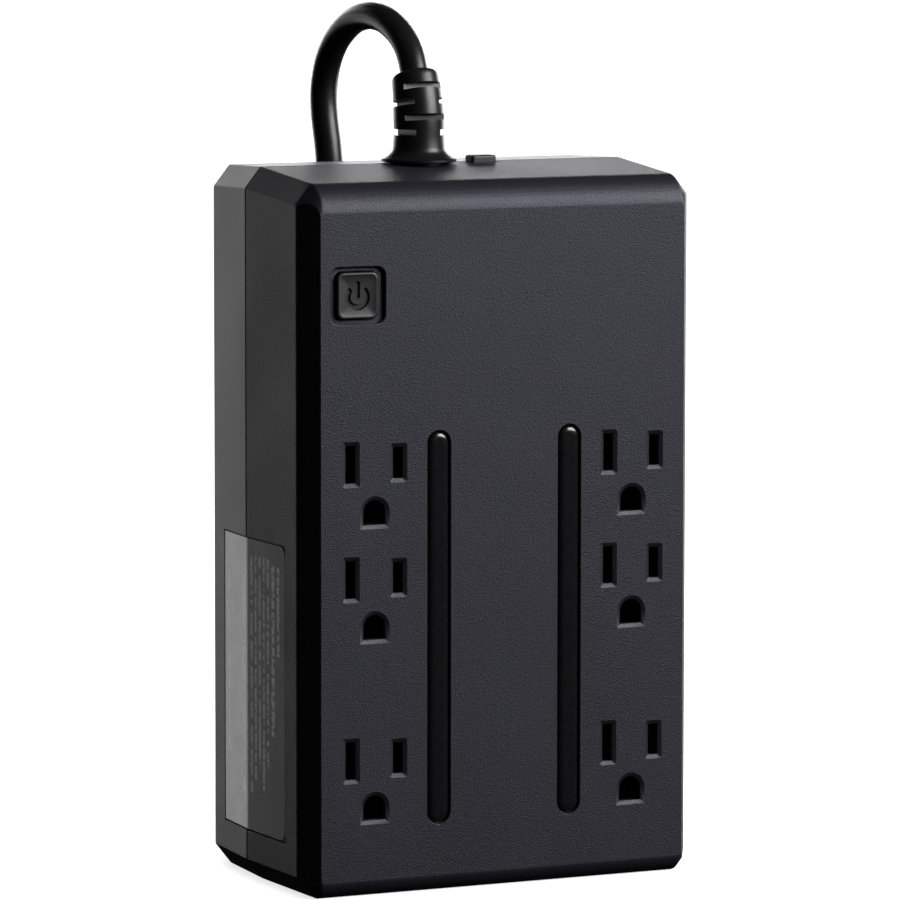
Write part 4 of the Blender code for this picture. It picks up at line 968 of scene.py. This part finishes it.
def power_mark():
    """A broken ring and a short upright line, cut half a millimetre deep into the dish."""
    bm = bmesh.new()
    middle_z = BUTTON_Z - 0.0003
    depths = ((-0.0002, 0.0005), (0.0009, 0.0))
    inner, outer = 0.0021, 0.0030
    rings = []
    for i in range(41):
        angle = math.radians(90 + 41 + (360 - 82) * i / 40)
        across = Vector((math.cos(angle), math.sin(angle)))
        section = []
        for radius, out, (depth, grow) in ((inner, -1, depths[0]), (inner, -1, depths[1]),
                                           (outer, 1, depths[1]), (outer, 1, depths[0])):
            grown = radius + grow * out
            section.append((BUTTON_X + across.x * grown, at(depth), middle_z + across.y * grown))
        rings.append(section)
    loft(rings, bm)
    loft([facing(oblong(0.0011 + grow, 0.0040 + grow, 0.0005, 4), depth, BUTTON_X, middle_z + 0.0017)
          for depth, grow in depths], bm)
    return bm


cap = moulding("power_cap", button_cap(), BUTTON_PLASTIC)
machine(cap, (("DIFFERENCE", power_mark()),))
smooth(cap)
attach(cap, "button")
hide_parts("power_button")

# ---------------------------------------------------------------- glossy bars
# Two strips of polished black polycarbonate are snapped into the grooves beside the outlets.
# Their edges are rolled over, so a thin line of light runs round each.


def polished_black():
    """High-gloss black with the faintest ripple and a few fine wipe marks."""
    made, tree, shader = finish_material("polished_black", Coat_Weight=0.1, Coat_Roughness=0.2)
    place = node(tree, "TexCoord").outputs["Object"]
    ripple = pattern(tree, "TexNoise", place, {"Scale": 60.0, "Detail": 1.0}).outputs[0]
    wipes = pattern(tree, "TexNoise", place, {"Scale": 500.0, "Detail": 4.0}).outputs[0]
    colour = two_tones(tree, wipes, (0.0035, 0.0035, 0.004), (0.007, 0.007, 0.008))
    dress(tree, shader, colour, (wipes, 0.10, 0.14), ripple, 0.00002)
    return made


POLISHED = polished_black()
for side, name, node_name in ((-1, "backup_strip", "backup_bar"), (1, "surge_strip", "surge_bar")):
    rings = []
    profile = ((0.0013, 0.0), (0.0008, 0.0), (0.00055, 0.00006), (0.00032, 0.00022), (0.00014, 0.00048),
               (0.00003, 0.0008), (-0.00004, 0.0012), (-0.00008, 0.0017))
    for depth, inset in profile:
        width = BAR_WIDTH - 2 * inset
        rings.append(facing(oblong(width, BAR_LENGTH - 2 * inset, width / 2 - 1e-5, 10), depth,
                            side * BAR_SPREAD / 2, BAR_MIDDLE))
    strip = smooth(moulding(name, loft(rings), POLISHED), 60)
    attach(strip, "unit")
    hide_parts(node_name)

# ---------------------------------------------------------------- rating label
# A smoke-grey polyester sticker lies in its sinking on the left side and folds over the seam.
# Its print is kept to plain rules in place of words. Each rule has its depth, its two ends' heights
# and its thickness.

PRINTED_RULES = (
    (0.0172, 0.058, 0.080, 0.0013), (0.0202, 0.038, 0.080, 0.0016), (0.0232, 0.030, 0.0815, 0.0009),
    (0.0256, 0.0225, 0.0815, 0.0009), (0.0280, 0.030, 0.0815, 0.0009), (0.0304, 0.026, 0.0815, 0.0009),
    (0.0328, 0.0225, 0.0815, 0.0009), (0.0378, 0.022, 0.078, 0.0008), (0.0490, 0.030, 0.0785, 0.0008),
)


def label_film():
    """Satin grey film with pale ruled bars, broken at uneven lengths, that run up the side."""
    made, tree, shader = finish_material("label_film")
    place = node(tree, "TexCoord").outputs["Object"]
    parts = node(tree, "SeparateXYZ")
    tree.links.new(place, parts.inputs[0])
    depth = maths(tree, "SUBTRACT", parts.outputs["Y"], at(0.0))
    height = parts.outputs["Z"]
    along = node(tree, "CombineXYZ")
    tree.links.new(maths(tree, "MULTIPLY", height, 620.0), along.inputs["X"])
    tree.links.new(maths(tree, "MULTIPLY", maths(tree, "SNAP", depth, 0.0012), 9000.0), along.inputs["Y"])
    breaks = pattern(tree, "TexNoise", along.outputs[0], {"Scale": 1.0, "Detail": 0.0},
                     noise_dimensions="2D").outputs[0]
    pale = None
    for middle_depth, low_z, high_z, thick in PRINTED_RULES:
        row = maths(tree, "COMPARE", depth, middle_depth, thick / 2)
        run = maths(tree, "COMPARE", height, (low_z + high_z) / 2, (high_z - low_z) / 2)
        rule = maths(tree, "MULTIPLY", row, run)
        pale = rule if pale is None else maths(tree, "MAXIMUM", pale, rule)
    film = pattern(tree, "TexNoise", place, {"Scale": 180.0, "Detail": 3.0}).outputs[0]
    blend = node(tree, "Mix", data_type="RGBA")
    tree.links.new(maths(tree, "MULTIPLY", pale, maths(tree, "GREATER_THAN", breaks, 0.40)), blend.inputs[0])
    tree.links.new(two_tones(tree, film, (0.013, 0.013, 0.015), (0.020, 0.020, 0.023)), blend.inputs[6])
    blend.inputs[7].default_value = (0.75, 0.75, 0.76, 1.0)
    dress(tree, shader, blend.outputs[2], (film, 0.10, 0.20), film, 0.00001)
    return made


def label_sheet():
    """The sticker as a thin plate whose two front corners are round."""
    bm = bmesh.new()
    radius = 0.0025
    front, back = LABEL_DEPTHS
    depths = [front + 0.0004 * i for i in range(7)] + [0.0165, 0.020, 0.0275]
    depths += [SEAM + 0.0004 * i for i in range(-2, 3)] + [0.043, back - 0.0004, back]
    rows = []
    for d in depths:
        near = max(0.0, radius - (d - front))
        drop = radius - math.sqrt(max(0.0, radius**2 - near**2))
        rows.append((d, (LABEL_HEIGHTS[0] + drop, LABEL_HEIGHTS[1] - drop)))
    under, over = ([[bm.verts.new((-half_width(d, inset), at(d), z)) for z in heights] for d, heights in rows]
                   for inset in (0.0003, 0.0001))
    for grid in (under, over):
        for a, b in zip(grid, grid[1:]):
            bm.faces.new((a[0], b[0], b[1], a[1]))
    for side in (0, 1):
        for i in range(len(depths) - 1):
            bm.faces.new((under[i][side], under[i + 1][side], over[i + 1][side], over[i][side]))
    for i in (0, -1):
        bm.faces.new((under[i][0], under[i][1], over[i][1], over[i][0]))
    return bm


sticker = smooth(moulding("rating_sticker", label_sheet(), label_film()), 50)
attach(sticker, "unit")
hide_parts("side_label")

# ---------------------------------------------------------------- case screws and feet
# Four self-tapping steel screws close the case from behind, sunk in their bosses, with a cross
# recess in each pan head. Four soft black rubber feet are pressed into seats on the back.

STEEL = metal("zinc_steel", (0.60, 0.61, 0.63), 0.32)
for number, (x, z) in enumerate(POSTS, 1):
    head = BACK - 0.0023
    profile = ((0.0523, 0.0003), (0.0535, 0.0014), (head, 0.0014), (head, SCREW_HEAD_RADIUS),
               (head + 0.0008, SCREW_HEAD_RADIUS), (head + 0.0013, 0.0023), (head + 0.0016, 0.0018),
               (head + 0.0018, 0.0011))
    screw = moulding(f"screw_{number}", turned_solid(profile, x, z, 24), STEEL)
    sunk = (at(head + 0.0008), at(head + 0.003))
    machine(screw, (("DIFFERENCE", block(span(x, 0.0027), sunk, span(z, 0.0006))),
                    ("DIFFERENCE", block(span(x, 0.0006), sunk, span(z, 0.0027)))))
    smooth(screw)
    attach(screw, "unit")
    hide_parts(f"case_screw_{number}")

FOOT_RUBBER = grained("foot_rubber", (0.020, 0.020, 0.020), 0.7, pit=0.0008, depth=0.00004)
for number, (x, z) in enumerate(FEET, 1):
    profile = ((BACK - 0.0008, FOOT_RADIUS), (BACK + 0.0010, FOOT_RADIUS), (BACK + 0.0015, 0.00588),
               (BACK + 0.0018, 0.0056), (BACK + 0.0020, 0.0052), (BACK + 0.0020, 0.0040),
               (BACK + 0.0016, 0.0036), (BACK + 0.0016, 0.0004))
    foot = smooth(moulding(f"foot_{number}", turned_solid(profile, x, z, 40), FOOT_RUBBER), 40)
    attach(foot, "unit")
    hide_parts(f"rubber_foot_{number}")

# ---------------------------------------------------------------- studio
# A white sweep of paper, a softbox overhead and one at the front right, white cards that show only
# in reflections, and a long lens a metre and a half away, slightly above the case and to its left.


def softbox(name, place, towards, width, height, power, reflected=True, lights=True):
    """A flat white light. It may show only in reflections, or only light what is round it."""
    light = bpy.data.lights.new(name, "AREA")
    light.shape = "RECTANGLE"
    light.size = width
    light.size_y = height
    light.energy = power
    made = bpy.data.objects.new(name, light)
    made.location = place
    made.rotation_euler = (Vector(towards) - Vector(place)).to_track_quat("-Z", "Y").to_euler()
    made.visible_camera = False
    made.visible_glossy = reflected
    made.visible_diffuse = lights
    show(made)
    return made


def paper_sweep():
    """Paper that lies flat under the object and curls up far behind it."""
    bm = bmesh.new()
    front, foot, curl = -3.0, 2.2, 0.9
    profile = [(front, 0.0), (foot, 0.0)]
    for i in range(1, 13):
        angle = math.pi / 2 * i / 12
        profile.append((foot + curl * math.sin(angle), curl * (1 - math.cos(angle))))
    profile.append((foot + curl, 1.6))
    rows = [[bm.verts.new((x, y, z)) for x in (-4.0, 4.0)] for y, z in profile]
    for a, b in zip(rows, rows[1:]):
        bm.faces.new((a[0], a[1], b[1], b[0]))
    return bm


paper, tree, shader = finish_material("white_paper", Roughness=0.9, Emission_Color=(1.0, 1.0, 1.0, 1.0),
                                      Emission_Strength=0.75)
fibre = node(tree, "TexNoise")
fibre.inputs["Scale"].default_value = 60.0
tree.links.new(two_tones(tree, fibre.outputs[0], (0.90, 0.90, 0.90), (0.94, 0.94, 0.94)),
               shader.inputs["Base Color"])
sweep = moulding("paper_sweep", paper_sweep(), paper)
sweep.data.shade_smooth()
sweep.visible_glossy = False
sweep.visible_diffuse = False
CASE_HEART = (0.0, 0.0, 0.1)
softbox("overhead_softbox", (0.3, 0.8, 2.2), (0.3, 0.8, 0.0), 4.0, 4.0, 60.0, reflected=False)
softbox("key_softbox", (0.90, -0.96, 0.77), CASE_HEART, 1.0, 0.75, 34.0)
softbox("back_card", (0.75, 1.6, 0.40), CASE_HEART, 2.05, 0.62, 23.0, lights=False)
softbox("low_back_card", (1.2, 1.4, -0.25), CASE_HEART, 1.2, 0.5, 0.25, lights=False)
softbox("right_card", (1.5, 0.72, 0.15), CASE_HEART, 0.5, 0.8, 6.0, lights=False)
softbox("back_left_card", (-0.36, 1.6, 0.0), CASE_HEART, 0.62, 0.7, 2.1, lights=False)

world = bpy.data.worlds.new("studio_air")
world.use_nodes = True
air = world.node_tree.nodes["Background"]
air.inputs["Color"].default_value = (1.0, 1.0, 1.0, 1.0)
air.inputs["Strength"].default_value = 0.01
bpy.context.scene.world = world
bpy.context.scene.view_settings.view_transform = "Standard"

camera = bpy.data.objects.new("camera", bpy.data.cameras.new("camera"))
camera.data.lens = 245.85
camera.data.sensor_width = 36.0
camera.location = (-0.6579, -1.3853, 0.2684)
yaw, pitch, roll = math.radians(25.58), math.radians(6.11), math.radians(0.06)
aim = Vector((math.sin(yaw) * math.cos(pitch), math.cos(yaw) * math.cos(pitch), -math.sin(pitch)))
camera.rotation_mode = "QUATERNION"
camera.rotation_quaternion = aim.to_track_quat("-Z", "Y") @ Matrix.Rotation(roll, 3, "Z").to_quaternion()
show(camera)
bpy.context.scene.camera = camera
